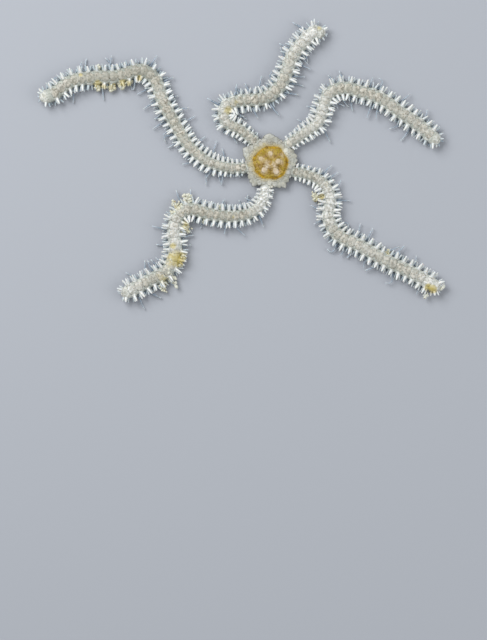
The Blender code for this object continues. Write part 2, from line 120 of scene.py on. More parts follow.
def grid_faces(rows, columns):
    """Quads between neighbouring rows and columns of a grid whose last column meets its first."""
    here = np.arange(columns)
    following = (here + 1) % columns
    start = (np.arange(rows - 1) * columns)[:, None]
    corners = (start + here, start + following, start + columns + following, start + columns + here)
    return np.stack(corners, axis=-1).reshape(-1, 4)


def fan_faces(ring, middle):
    """Triangles from each side of a closed ring of point numbers to one middle point."""
    return np.stack((ring, np.roll(ring, -1), np.full(len(ring), middle)), axis=-1)


def tube_faces(rows, columns):
    """The faces of a grid closed by a fan at each end, whose middle points follow the grid's points."""
    ring = np.arange(columns)
    last = (rows - 1) * columns + ring
    return [grid_faces(rows, columns), fan_faces(ring, rows * columns), fan_faces(last, rows * columns + 1)]


def with_ends(grid):
    """The points of a grid, then the middles of its first and its last row, where the fans meet."""
    ends = np.stack([grid[0].mean(axis=0), grid[-1].mean(axis=0)])
    return np.vstack([grid.reshape(-1, 3), ends])


def make_piece(name, points, faces, values=None, patches=None):
    """A smooth mesh object. Values are numbers per point by name, and patches are map places per point."""
    corners = np.concatenate([block.ravel() for block in faces])
    sizes = np.concatenate([np.full(len(block), block.shape[1]) for block in faces])
    mesh = bpy.data.meshes.new(name)
    mesh.vertices.add(len(points))
    mesh.vertices.foreach_set("co", np.asarray(points, dtype=np.float32).ravel())
    mesh.loops.add(len(corners))
    mesh.loops.foreach_set("vertex_index", corners.astype(np.int32))
    mesh.polygons.add(len(sizes))
    mesh.polygons.foreach_set("loop_start", (np.cumsum(sizes) - sizes).astype(np.int32))
    mesh.update(calc_edges=True)
    for label, numbers in (values or {}).items():
        layer = mesh.attributes.new(label, "FLOAT", "POINT")
        layer.data.foreach_set("value", np.asarray(numbers, dtype=np.float32).ravel())
    if patches is not None:
        layer = mesh.uv_layers.new(name="OFBake")
        layer.data.foreach_set("uv", np.asarray(patches, dtype=np.float32)[corners].ravel())
    shell = bmesh.new()
    shell.from_mesh(mesh)
    bmesh.ops.recalc_face_normals(shell, faces=shell.faces)
    shell.to_mesh(mesh)
    shell.free()
    mesh.shade_smooth()
    piece = bpy.data.objects.new(name, mesh)
    bpy.context.scene.collection.objects.link(piece)
    return piece


def tell(pieces):
    """Prints how many faces each piece has."""
    print({piece.name: len(piece.data.polygons) for piece in pieces.values()})


def ripple(points, size, seed, waves=14):
    """An unevenness from about -1 to 1: twice the mean of sine waves of that length in seeded directions."""
    chance = np.random.default_rng(seed)
    ways = chance.normal(size=(waves, 3))
    ways *= math.tau / size / np.linalg.norm(ways, axis=1)[:, None] * chance.uniform(0.6, 1.5, (waves, 1))
    starts = chance.uniform(0.0, math.tau, waves)
    return np.sin(np.tensordot(points, ways, axes=([-1], [1])) + starts).mean(axis=-1) * 2.0


# %% [markdown]
# An arm follows a middle line on the floor. The line is a smooth curve through a few points chosen on the
# photo, given in millimetres from the middle of the disc, as in the solids. Along it the segments get
# longer and the arm gets a little wider, and near its end it closes in a blunt tip. Two more segments
# run on under the disc to the mouth, as in the animal.

# %% The arms' sizes and routes
INSERT_RADIUS = 5.75 * MM
GAP = 0.3 * MM
HALF_WIDTH_AT_DISC = 1.5 * MM
HALF_WIDTH_FAR = 1.86 * MM
HEIGHT_AT_DISC = 2.45 * MM
HEIGHT_FAR = 2.7 * MM
SEGMENT_AT_DISC = 1.3 * MM
SEGMENT_FAR = 1.95 * MM
SEGMENTS_INSIDE = 2
FULL_SIZE_AT = 0.5
BLUNT_END = 2.2 * MM
TIP_LIFT = 0.5 * MM
LIFTED_LENGTH = 5.0 * MM
ARM_DIRECTIONS = {"arm_1": 125.0, "arm_2": 46.0, "arm_3": -21.0, "arm_4": 260.0, "arm_5": 192.0}
ARM_ROUTES = {
    "arm_1": ((-7.3, 8.1), (-10.8, 10.0), (-11.5, 12.6), (-10.3, 14.6), (-6.6, 15.5), (-1.8, 16.0),
              (2.1, 18.7), (4.0, 22.3), (5.5, 26.5), (8.3, 30.1), (11.1, 32.5), (13.8, 32.0)),
    "arm_2": ((8.4, 7.3), (11.9, 10.0), (13.2, 13.6), (14.7, 17.1), (18.2, 18.6), (22.5, 17.7),
              (27.6, 16.0), (32.2, 12.8), (37.1, 9.4), (42.2, 4.9)),
    "arm_3": ((9.3, -3.0), (13.1, -5.0), (15.0, -8.8), (14.6, -13.8), (17.0, -18.0), (22.2, -20.6),
              (28.9, -24.4), (35.8, -27.7), (42.4, -31.6)),
    "arm_4": ((-1.7, -9.2), (-4.2, -12.2), (-9.0, -13.4), (-14.5, -12.9), (-19.6, -11.7), (-22.9, -13.2),
              (-24.0, -17.0), (-23.7, -22.0), (-25.6, -26.8), (-30.9, -29.8), (-37.1, -33.1)),
    "arm_5": ((-10.4, -1.2), (-15.7, 0.4), (-20.4, 4.4), (-23.9, 10.1), (-26.8, 15.5), (-28.8, 20.8),
              (-32.4, 23.0), (-38.0, 21.6), (-43.6, 21.3), (-49.5, 20.3), (-53.9, 17.3), (-57.5, 15.9)),
}


# %% The middle line of an arm
class Arm:
    """An arm's middle line as arrays, measured by length, with the ends of its segments."""

    steps = 24
    look_aside = 0.6 * MM

    def __init__(self, name):
        self.name = name
        turn = math.radians(ARM_DIRECTIONS[name])
        self.first_heading = np.array((math.cos(turn), math.sin(turn)))
        start = np.array(DISC_PLACE) + self.first_heading * (INSERT_RADIUS + GAP)
        points = np.vstack([start, np.array(DISC_PLACE) + np.array(ARM_ROUTES[name]) * MM])
        self.line = self.smooth(points)
        strides = np.linalg.norm(np.diff(self.line, axis=0), axis=1)
        self.measure = np.concatenate([[0.0], np.cumsum(strides)])
        self.total = float(self.measure[-1])
        self.ends = self.segment_ends()

    def smooth(self, points):
        """A Catmull-Rom curve: between two points, a cubic whose slope at each is half the chord over it."""
        padded = np.vstack([2 * points[0] - points[1], points, 2 * points[-1] - points[-2]])
        share = np.linspace(0.0, 1.0, self.steps, endpoint=False)[:, None]
        a, b, c, d = (padded[i:len(padded) - 3 + i, None, :] for i in range(4))
        bend = (2 * a - 5 * b + 4 * c - d) * share ** 2 + (3 * b - a - 3 * c + d) * share ** 3
        runs = 0.5 * (2 * b + (c - a) * share + bend)
        return np.vstack([runs.reshape(-1, 2), points[-1]])

    def segment_ends(self):
        """Lengths at which segments end, each a little longer than the one before it."""
        ends = [-SEGMENT_AT_DISC * number for number in range(SEGMENTS_INSIDE, -1, -1)]
        while ends[-1] < self.total - SEGMENT_FAR:
            longer = (SEGMENT_FAR - SEGMENT_AT_DISC) * float(ease(ends[-1] / self.total / FULL_SIZE_AT))
            ends.append(ends[-1] + SEGMENT_AT_DISC + longer)
        ends[-1] = self.total
        return np.array(ends)

    def place(self, along):
        """Points on the line, carried on straight inwards before its start."""
        x = np.interp(along, self.measure, self.line[:, 0])
        y = np.interp(along, self.measure, self.line[:, 1])
        before = np.minimum(along, 0.0)[..., None] * self.first_heading
        return np.stack([x, y], axis=-1) + before

    def heading(self, along):
        """Unit directions away from the disc: the chord across a short stretch of the line."""
        ahead = self.place(np.minimum(along + self.look_aside, self.total))
        return unit(ahead - self.place(along - self.look_aside))

    def segment_share(self, along):
        """How far into its segment each length is, from 0 to 1."""
        number = np.clip(np.searchsorted(self.ends, along, side="right") - 1, 0, len(self.ends) - 2)
        start = self.ends[number]
        return np.clip((along - start) / (self.ends[number + 1] - start), 0.0, 1.0)

    def grown(self, along, near, far):
        """A size that eases from its value at the disc to its value far out."""
        return near + (far - near) * ease(along / self.total / FULL_SIZE_AT)

    def blunt(self, along):
        """The share of its full size at the tip: a quarter circle over the blunt end."""
        past = np.clip((along - self.total + BLUNT_END) / BLUNT_END, 0.0, 1.0)
        return np.sqrt(np.maximum(1.0 - past * past, 0.0))

    def lift(self, along):
        """How far the last stretch rises off the floor."""
        return TIP_LIFT * ease((along - self.total + LIFTED_LENGTH) / LIFTED_LENGTH)


def on_each(chosen, make, first_seed):
    """A piece for each chosen arm, made with seeds that count up from the first, with their faces told."""
    pieces = {arm.name: make(arm, first_seed + number) for number, arm in enumerate(chosen)}
    tell(pieces)
    return pieces


arms = {name: Arm(name) for name in ARM_ROUTES}
print({name: (round(arm.total / MM, 1), len(arm.ends) - 1) for name, arm in arms.items()})

# %% [markdown]
# The skin of an arm is a grid of two parameters, the length along the arm and the angle round it. The
# cross-section is a rounded box with a flat sole. The flanks swell a little once in each segment, and a
# shallow groove marks each joint. The skin is the soft, grey-green layer that shows between the plates.
# Made as one surface, it has no seam where the solids are parted.

# %% The surface of an arm
MIDDLE_LEVEL = 0.43
SIDE_HOLLOW = 0.09
RIB_PLACE = 0.7
RIB_SHARPNESS = 1.4
BACK_POWER = 0.84
SOLE_POWER = 0.9
FLANK_POWER = 0.86
UNDER_DISC_NARROWS = 0.3
JOINT_GROOVE = 0.06 * MM
JOINT_WIDTH = 0.08
SOLE_SINK = 0.14 * MM
SOLE_GROOVE = 0.07 * MM
LOWEST_SKIN = 0.02 * MM
COARSE_RIPPLE, COARSE_SIZE = 0.035 * MM, 0.9 * MM
FINE_RIPPLE, FINE_SIZE = 0.022 * MM, 0.34 * MM
LUMPY_END = 2.4 * MM
END_LUMPS = 2.0


def arm_points(arm, along, angle):
    """Points on an arm's skin at each length and angle, the directions out of it, and the ribs.

    Across, the half width times the cosine of the angle, made squarer. Up, the middle level plus the
    height above it, or less the depth below it, times the sine. The sole is cut flat near the floor.
    """
    share = arm.segment_share(along)
    rib = (0.5 + 0.5 * np.cos(math.tau * (share - RIB_PLACE))) ** RIB_SHARPNESS
    joint = np.exp(-(np.minimum(share, 1.0 - share) / JOINT_WIDTH) ** 2)
    blunt = arm.blunt(along)
    narrow = 1.0 - UNDER_DISC_NARROWS * ease(-along / (SEGMENTS_INSIDE * SEGMENT_AT_DISC))
    wide = arm.grown(along, HALF_WIDTH_AT_DISC, HALF_WIDTH_FAR) * blunt * narrow
    wide = wide * (1.0 - SIDE_HOLLOW * (1.0 - rib))
    high = arm.grown(along, HEIGHT_AT_DISC, HEIGHT_FAR)
    cosine, sine = np.cos(angle), np.sin(angle)
    middle_level = high * MIDDLE_LEVEL
    above = np.maximum(sine, 0.0) ** BACK_POWER * (high - middle_level) * blunt
    below = np.maximum(-sine, 0.0) ** SOLE_POWER * (middle_level + SOLE_SINK) * blunt
    lowest = SOLE_GROOVE * ease(-sine * 2.0 - 1.0) + middle_level * (1.0 - blunt)
    level = np.maximum(middle_level + above - below, lowest) + arm.lift(along)
    across = wide * squarer(cosine, FLANK_POWER)
    middle, heading = arm.place(along), arm.heading(along)
    aside = np.stack([heading[..., 1], -heading[..., 0]], axis=-1)
    points = np.concatenate([middle + aside * across[..., None], level[..., None]], axis=-1)
    upwards = np.broadcast_to(sine, level.shape)[..., None]
    outwards = np.concatenate([aside * cosine[..., None], upwards], axis=-1)
    uneven = ripple(points, COARSE_SIZE, 11) * COARSE_RIPPLE + ripple(points, FINE_SIZE, 12) * FINE_RIPPLE
    uneven = uneven * (1.0 + END_LUMPS * ease(1.0 - (arm.total - along) / LUMPY_END))
    points = points + outwards * (uneven - JOINT_GROOVE * joint * np.maximum(sine, 0.0))[..., None]
    points[..., 2] = np.maximum(points[..., 2], LOWEST_SKIN)
    return points, outwards, rib


# %% [markdown]
# The yellow and tan stains on the arms are soft spots at known places in the photo. Each adds to a stain
# value that fades with the distance from its middle, and the material turns that value into colour.

# %% Stains on the back of the arms and on the disc
STAINS = (
    ((81.0, 75.6), 2.4, 0.7), ((98.2, 85.0), 4.2, 0.9), ((114.0, 87.0), 3.5, 0.7),
    ((123.0, 84.0), 4.5, 0.7), ((140.0, 79.0), 4.0, 0.6), ((60.0, 88.0), 3.0, 0.25),
    ((44.0, 98.0), 4.0, 0.28), ((228.0, 111.0), 5.0, 0.6), ((236.0, 103.0), 5.0, 0.35),
    ((177.0, 206.0), 3.5, 0.7), ((187.0, 199.5), 3.5, 0.6), ((186.5, 227.0), 3.0, 1.0),
    ((173.0, 245.6), 2.6, 0.8), ((180.5, 257.0), 5.0, 1.0), ((172.0, 256.8), 4.0, 0.7),
    ((179.5, 263.5), 4.0, 0.9), ((166.0, 281.0), 6.0, 0.45), ((156.0, 294.0), 4.0, 0.5),
    ((321.5, 197.0), 3.2, 0.9), ((327.0, 185.0), 5.0, 0.3), ((432.4, 289.6), 4.2, 1.0),
    ((427.0, 287.2), 3.6, 0.8), ((319.0, 29.0), 3.0, 0.5), ((264.0, 144.5), 4.0, 0.3),
    ((170.2, 263.7), 6.5, 0.38), ((175.0, 248.0), 5.0, 0.22), ((158.2, 275.5), 6.0, 0.26),
    ((183.0, 213.0), 6.0, 0.26), ((185.0, 222.0), 3.5, 0.35), ((130.0, 84.0), 4.0, 0.5),
    ((105.5, 88.0), 3.5, 0.5), ((388.0, 253.5), 2.4, 0.5), ((250.0, 165.5), 4.0, 0.35),
    ((254.0, 181.0), 4.0, 0.2), ((235.0, 128.0), 4.0, 0.3), ((233.6, 217.6), 1.3, 1.0),
)
STAINED_FROM = 1.2 * MM


def stain_at(x, y):
    """The sum of round spots: each is its strength times a bell curve of the distance over its radius."""
    spots = np.array([(*on_floor(pixel), radius * PIXEL, strength) for pixel, radius, strength in STAINS])
    distance = np.hypot(x[..., None] - spots[:, 0], y[..., None] - spots[:, 1]) / spots[:, 2]
    return np.clip((spots[:, 3] * np.exp(-distance ** 2)).sum(axis=-1), 0.0, 1.0)


def stain_on(points):
    """The stain at points of an arm, which fades down its flanks to the floor."""
    return stain_at(points[:, 0], points[:, 1]) * ease(points[:, 2] / STAINED_FROM)


print(len(STAINS), "stains")

# %% Make the skins of the arms
ROWS_IN_SEGMENT = 12
ROWS_AT_TIP = 16
POINTS_AROUND = 72
WHITE_TIP = 4.0 * MM
SHADES = {
    "arm_1": ((0, 0.0), (9, 0.2), (12, 0.5), (16, 0.0), (28, 0.0), (33, 0.25), (39, 0.4), (43, 0.7),
              (48, 0.2)),
    "arm_2": ((0, 0.1), (3, 0.2), (6, 0.3), (10, 0.55), (14, 0.5), (20, 0.0), (32, 0.1), (44, 0.25),
              (48, 0.0)),
    "arm_3": ((0, 0.0), (5, 0.05), (8, 0.3), (12, 0.75), (17, 0.6), (22, 0.1), (28, 0.3), (34, 0.3),
              (39, 0.1), (45, 0.4), (48, 0.9)),
    "arm_4": ((0, 1.0), (4, 0.95), (8, 0.2), (12, -0.15), (17, -0.15), (22, 0.0), (28, 0.3), (31, 0.7),
              (36, 0.4), (45, 0.0), (49, 0.3), (52, 0.6)),
    "arm_5": ((0, 0.0), (10, 0.1), (28, 0.0), (31, 0.3), (35, -0.3), (37, -0.7), (42, -0.4), (53, -0.4),
              (58, 0.1), (63, -0.1)),
}


def whiteness(arm, along):
    """How white the arm is there, or how dark below 0, straight between the lengths that SHADES gives."""
    places, shades = np.array(SHADES[arm.name]).T
    return np.interp(along / MM, places, shades)


def arm_rows(arm):
    """Lengths of the rows: twelve to a segment, and closer ones over the blunt tip."""
    step = np.arange(ROWS_IN_SEGMENT) / ROWS_IN_SEGMENT
    lengths = (arm.ends[:-1, None] + np.diff(arm.ends)[:, None] * step).ravel()
    turn = np.linspace(0.0, math.pi / 2, ROWS_AT_TIP, endpoint=False)
    tip = arm.total - BLUNT_END * (1.0 - np.sin(turn))
    return np.concatenate([lengths[lengths < arm.total - BLUNT_END], tip])


def arm_skin(arm):
    """The arm's grid, closed by a fan at both ends, the first of which is hidden in the disc."""
    rows = arm_rows(arm)
    angle = np.linspace(-math.pi, math.pi, POINTS_AROUND, endpoint=False)
    along, angle = np.meshgrid(rows, angle, indexing="ij")
    points, _, rib = arm_points(arm, along, angle)
    points = with_ends(points)
    values = {
        "rib": np.append(rib.ravel(), (0.0, 0.0)),
        "white": np.append(whiteness(arm, along).ravel(), (1.0, 0.0)),
        "tip": np.append(ease(1.0 - (arm.total - along) / WHITE_TIP).ravel(), (0.0, 1.0)),
        "stain": stain_on(points),
    }
    return make_piece(arm.name + "_skin", points, tube_faces(*along.shape), values)


arm_skins = {name: arm_skin(arm) for name, arm in arms.items()}
tell(arm_skins)

# %% [markdown]
# Plates, scales, spines and feet are hundreds of small closed bodies of one kind each. Each kind is made
# as one joined mesh from an array: the first index counts the bodies, the next two are the rings and the
# points of one body. A plate is a lens: rings that follow its outline, over its domed top, round its
# edge and back below.

# %% Helpers: many closed bodies at once, and lenses
LENS_POINTS = 12
LENS_REACH = np.array((0.45, 0.8, 1.0, 0.8))
LENS_LEVEL = np.array((1.0, 0.8, -0.1, -0.6))
LENS_LEVELS = np.append(np.repeat(LENS_LEVEL, LENS_POINTS), (LENS_LEVEL[0], LENS_LEVEL[-1]))
LENS_EDGES = np.append(np.repeat(LENS_REACH, LENS_POINTS), (0.0, 0.0))


def joined(bodies, ends):
    """Points and faces of many closed grids: each is a stack of rings with a point at each end."""
    count, rows, columns = bodies.shape[:3]
    points = np.concatenate([bodies.reshape(count, -1, 3), ends], axis=1)
    first = np.arange(count)[:, None, None] * points.shape[1]
    faces = [(first + block).reshape(-1, block.shape[1]) for block in tube_faces(rows, columns)]
    return points.reshape(-1, 3), faces


def joined_lenses(points):
    """The same for lenses whose points are given in one row each, the rings first and the ends last."""
    in_rings = len(LENS_REACH) * LENS_POINTS
    bodies = points[:, :in_rings].reshape(len(points), len(LENS_REACH), LENS_POINTS, 3)
    return joined(bodies, points[:, in_rings:])


def on_lens(outline):
    """An outline's numbers times the reach of each ring, and 0 at the two ends."""
    rings = LENS_REACH[:, None] * outline[..., None, :]
    ends = np.zeros((*outline.shape[:-1], 2))
    return np.concatenate([rings.reshape(*outline.shape[:-1], -1), ends], axis=-1)


def per_point(values, rows, columns):
    """A number of each body, repeated for all its points."""
    return np.repeat(values, rows * columns + 2)


def rounded_outline(squareness, widening):
    """An outline from -1 to 1 each way: an oval made squarer, and wider ahead by that share."""
    turn = np.linspace(0.0, math.tau, LENS_POINTS, endpoint=False)
    ahead = squarer(np.sin(turn), squareness)
    return squarer(np.cos(turn), squareness) * (1.0 + widening * ahead), ahead


# %% [markdown]
# Four rows of chalky plates cover an arm: one along the back, one on each flank that carries the spines,
# and one on the sole, which runs on under the disc. The plates of a row overlap like roof tiles. Each is a
# lens laid on the skin, so it bends with the arm, and its place on the bake map is its place on the
# unrolled skin.

# %% The plates of the arms
PLATE_ROWS = {
    "back": {"middle": math.pi / 2, "half_angle": 0.72, "place": 0.5, "half_length": 0.6,
             "thickness": 0.09 * MM, "overlap": 0.03 * MM, "squareness": 0.95, "widening": 0.3},
    "left": {"middle": math.pi - 0.36, "half_angle": 0.6, "place": 0.66, "half_length": 0.42,
             "thickness": 0.16 * MM, "overlap": 0.05 * MM, "squareness": 0.85, "widening": 0.1},
    "right": {"middle": 0.36, "half_angle": 0.6, "place": 0.66, "half_length": 0.42,
              "thickness": 0.16 * MM, "overlap": 0.05 * MM, "squareness": 0.85, "widening": 0.1},
    "sole": {"middle": -math.pi / 2, "half_angle": 0.44, "place": 0.5, "half_length": 0.47,
             "thickness": 0.1 * MM, "overlap": 0.0, "squareness": 0.7, "widening": 0.08,
             "under_disc": SEGMENTS_INSIDE},
}
UNEVEN_PLATES = 0.05
LAST_PLATE_SHARE = 0.04
MAP_START, MAP_LENGTH = 0.1, 0.88


def plate_row(arm, shape, chance):
    """One row of plates: lenses whose sides are a length along the arm and an angle round it.

    A point's height off the skin is the lens's level times the thickness, plus the overlap ahead.
    """
    number = np.arange(SEGMENTS_INSIDE - shape.get("under_disc", 0), len(arm.ends) - 1)
    size = np.diff(arm.ends)[number]
    middle = arm.ends[number] + size * shape["place"]
    kept = middle + size * shape["half_length"] < arm.total - LAST_PLATE_SHARE * BLUNT_END
    middle, size = middle[kept], size[kept]
    aside, ahead = (on_lens(part) for part in rounded_outline(shape["squareness"], shape["widening"]))
    sizes = chance.uniform(1.0 - UNEVEN_PLATES, 1.0 + UNEVEN_PLATES, (2, len(middle), 1))
    along = middle[:, None] + ahead * size[:, None] * shape["half_length"] * sizes[0]
    angle = shape["middle"] + aside * shape["half_angle"] * sizes[1]
    points, outwards, _ = arm_points(arm, along, angle)
    points = points + outwards * (LENS_LEVELS * shape["thickness"] + ahead * shape["overlap"])[..., None]
    points[..., 2] = np.maximum(points[..., 2], 0.0)
    return points, along, angle, np.repeat(chance.uniform(-1.0, 1.0, len(middle)), len(LENS_LEVELS))


def arm_plates(arm, seed):
    """The four rows of plates of an arm, joined to one piece."""
    chance = np.random.default_rng(seed)
    rows = [plate_row(arm, shape, chance) for shape in PLATE_ROWS.values()]
    points, along, angle = (np.concatenate([row[part] for row in rows]) for part in range(3))
    points, faces = joined_lenses(points)
    counts = [row[1].size for row in rows]
    kinds = {name: [float(name == kind) for kind in PLATE_ROWS] for name in ("back", "sole")}
    values = {name: np.repeat(numbers, counts) for name, numbers in kinds.items()}
    values["tone"] = np.concatenate([row[3] for row in rows])
    values["edge"] = np.tile(LENS_EDGES, len(along))
    values["white"] = whiteness(arm, along).ravel()
    values["tip"] = ease(1.0 - (arm.total - along.ravel()) / WHITE_TIP)
    values["stain"] = stain_on(points)
    mapped = MAP_START + MAP_LENGTH * along.ravel() / arm.total
    unrolled = np.stack([mapped, (angle.ravel() / math.tau) % 1.0], axis=-1)
    return make_piece(arm.name + "_plates", points, faces, values, unrolled)


plates = on_each(arms.values(), arm_plates, 60)

# %% [markdown]
# Spines and feet are small tapered rods. A rod is a ring of six points at each station of its path.
# Each gets a patch of the bake map about 0.003 across, where its root lies when the arm's skin is
# unrolled by length and by angle. The map keeps every rod's own colour when the model is exported.

# %% Helper: many rods at once
PATCH = 0.003
ROD_SIDES = 6
MARK_SPACING = 0.4 * MM
OWN_STRETCH = 4.5 * MM
STOP_BEFORE = 0.08


def rods(paths, radii, tip_length):
    """Points and faces of tapered rods, one for each path.

    A ring's points lie round each station, at its radius times the cosine sideways and the sine over it.
    One more point closes the root, and one the tip, which is that length past the last station.
    """
    ahead = unit(np.gradient(paths, axis=1))
    sideways = unit(np.cross(ahead, (0.0, 0.0, 1.0)))
    over = np.cross(sideways, ahead)
    turn = np.linspace(0.0, math.tau, ROD_SIDES, endpoint=False)[:, None]
    ring = sideways[:, :, None] * np.cos(turn) + over[:, :, None] * np.sin(turn)
    rings = paths[:, :, None] + ring * radii[:, :, None, None]
    ends = np.stack([paths[:, 0], paths[:, -1] + ahead[:, -1] * tip_length[:, None]], axis=1)
    return joined(rings, ends)


def along_rods(count, stations):
    """How far each point of each rod is from its root, from 0 to 1."""
    share = np.append(np.repeat(np.linspace(0.0, 1.0, stations), ROD_SIDES), (0.0, 1.0))
    return np.tile(share, count)


def bake_patches(along_share, angle, stations):
    """A small patch for each rod at its root's place: length along the arm by angle round it."""
    root = np.stack([0.02 + 0.96 * along_share, 0.02 + 0.96 * (angle / math.tau % 1.0)], axis=-1)
    length = along_rods(1, stations) - 0.5
    side = np.append(np.tile(np.linspace(-0.5, 0.5, ROD_SIDES), stations), (0.0, 0.0))
    within = np.stack([length, side], axis=-1) * PATCH
    return (root[:, None] + within).reshape(-1, 2)


def free_share(arm, along, paths, margin):
    """The share of each path, seen from above, that keeps the margin from other arms and stretches."""
    free = np.ones(len(paths))
    steps = paths.shape[1]
    for other in arms.values():
        marks = np.arange(0.0, other.total, MARK_SPACING)
        half = other.grown(marks, HALF_WIDTH_AT_DISC, HALF_WIDTH_FAR) + margin
        distance = np.linalg.norm(paths[:, :, None, :2] - other.place(marks), axis=-1) - half
        if other is arm:
            own = np.abs(along[:, None] - marks) < OWN_STRETCH
            distance = np.where(own[:, None, :], 1.0, distance)
        blocked = distance.min(axis=2) < 0.0
        first = np.where(blocked.any(axis=1), blocked.argmax(axis=1) / (steps - 1) - STOP_BEFORE, 1.0)
        free = np.minimum(free, first)
    return free


# %% [markdown]
# On each side of each segment stands a comb of five spines, one above the other. The upper ones are
# stout, blunt, opaque and white. The lower ones are thinner and bluish, as some light passes through
# them. Seen from above the comb opens like a fan. Beside the disc the spines are shorter and closer, and
# round the blunt tip they point every way.

# %% The spines of the arms
COMB_ANGLES = np.radians((33.0, 17.0, 1.0, -18.0, -37.0))
COMB_RISES = np.array((0.42, 0.2, 0.02, -0.06, -0.03))
COMB_LENGTHS = np.array((1.14, 1.0, 0.92, 0.85, 0.7))
COMB_RADII = np.array((0.37, 0.31, 0.28, 0.25, 0.22)) * MM
COMB_WHITENESS = np.array((1.0, 0.5, 0.25, 0.1, 0.0))
COMB_PLACES = np.array((0.68, 0.84, 0.5, 0.95, 0.36))
COMB_LEANS = np.array((0.0, 0.24, -0.22, 0.42, -0.4))
SPINE_LENGTH = 1.58 * MM
SPINE_ROOTED = 0.35 * MM
SPINE_PROFILE = np.array((0.94, 1.07, 0.97, 0.77, 0.54, 0.32))
SPINE_STATIONS = np.array((0.0, 0.2, 0.44, 0.69, 0.9, 0.98))
COMB_JITTER = 0.06
KEPT_SPINES = 0.95
LEAN_SPREAD = 0.09
RISE_SPREAD = (-0.1, 0.12)
LENGTH_SPREAD = (0.84, 1.08)
RADIUS_SPREAD = (0.88, 1.1)
PROFILE_SPREAD = 0.05
WHITE_SPREAD = (-0.2, 0.15)
BEND_SPREAD = 0.1
FAN_LEAN = 1.1
FAN_LENGTH = 2.6 * MM
TIP_SHORTENS = 0.45
FIRST_SPINE_RADIUS = 6.9 * MM
FULL_SPINE_AT = 9.0 * MM
FIRST_SPINE_LENGTH = 0.55
FIRST_SPINE_WIDTH = 0.62
SPINE_MARGIN = 0.1 * MM
SHORTEST_FREE = 0.3
SPINE_END = 0.14
WHITER_SPINES = 0.35


def comb_roots(arm, chance):
    """Lengths, sides and rows of the spines, five to a side of a segment, without a few lost ones."""
    segments = np.arange(SEGMENTS_INSIDE, len(arm.ends) - 1)
    combs = np.meshgrid(segments, (-1.0, 1.0), np.arange(len(COMB_ANGLES)), indexing="ij")
    number, side, row = (part.ravel() for part in combs)
    place = COMB_PLACES[row] + chance.uniform(-COMB_JITTER, COMB_JITTER, len(row))
    along = arm.ends[number] + np.diff(arm.ends)[number] * place
    apart = np.linalg.norm(arm.place(along) - DISC_PLACE, axis=-1)
    kept = (apart > FIRST_SPINE_RADIUS) & (chance.random(len(row)) < KEPT_SPINES)
    return along[kept], side[kept], row[kept], apart[kept]


def arm_spines(arm, seed):
    """Combs of spines: each a path outwards from the flank, rising, leaning and varied by chance."""
    chance = np.random.default_rng(seed)
    along, side, row, apart = comb_roots(arm, chance)
    count = len(row)
    angle = COMB_ANGLES[row] + chance.uniform(-COMB_JITTER, COMB_JITTER, count)
    angle = np.where(side > 0.0, angle, math.pi - angle)
    root, _, _ = arm_points(arm, along, angle)
    heading = arm.heading(along)
    outwards = np.stack([heading[:, 1], -heading[:, 0]], axis=-1) * side[:, None]
    at_tip = ease(1.0 - (arm.total - along) / FAN_LENGTH)
    lean = COMB_LEANS[row] + chance.normal(0.0, LEAN_SPREAD, count) + FAN_LEAN * at_tip
    rise = COMB_RISES[row] + chance.uniform(*RISE_SPREAD, count)
    way = unit(np.column_stack([outwards + heading * lean[:, None], rise]))
    out = ease((apart - FIRST_SPINE_RADIUS) / FULL_SPINE_AT)
    grown = FIRST_SPINE_LENGTH + (1.0 - FIRST_SPINE_LENGTH) * out
    length = SPINE_LENGTH * COMB_LENGTHS[row] * chance.uniform(*LENGTH_SPREAD, count) * grown
    length = length * (1.0 - TIP_SHORTENS * at_tip)
    slimmer = FIRST_SPINE_WIDTH + (1.0 - FIRST_SPINE_WIDTH) * grown
    radius = COMB_RADII[row] * chance.uniform(*RADIUS_SPREAD, count) * slimmer
    root = root - way * SPINE_ROOTED
    reach = way * (length + SPINE_ROOTED)[:, None]
    tried = root[:, None] + reach[:, None] * np.linspace(0.0, 1.0, 9)[:, None]
    reach = reach * np.maximum(free_share(arm, along, tried, SPINE_MARGIN), SHORTEST_FREE)[:, None]
    paths = root[:, None] + reach[:, None] * SPINE_STATIONS[:, None]
    bend = heading * chance.normal(0.0, BEND_SPREAD, count)[:, None] * MM
    paths[..., :2] += bend[:, None] * SPINE_STATIONS[:, None] ** 2
    uneven = chance.uniform(-PROFILE_SPREAD, PROFILE_SPREAD, (count, len(SPINE_PROFILE)))
    radii = radius[:, None] * SPINE_PROFILE * (1.0 + uneven)
    paths[..., 2] = np.maximum(paths[..., 2], radii * 1.05)
    points, faces = rods(paths, radii, radius * SPINE_END)
    stations = len(SPINE_STATIONS)
    white = COMB_WHITENESS[row] + chance.uniform(*WHITE_SPREAD, count)
    white = np.clip(white + WHITER_SPINES * whiteness(arm, along), 0.0, 1.0)
    values = {
        "white": per_point(white, stations, ROD_SIDES),
        "reach": along_rods(count, stations),
        "stain": stain_at(points[:, 0], points[:, 1]),
    }
    patches = bake_patches(along / arm.total, angle, stations)
    return make_piece(arm.name + "_spines", points, faces, values, patches)


spines = on_each(arms.values(), arm_spines, 20)

# %% [markdown]
# The tube feet are soft, clear fingers that reach out between the segments from beside the sole. Most are
# straight or bend a little, and a few hook over at the end, which has a small knob. A foot's path is
# drawn like a turtle's: its direction turns along its length, and the steps add up.

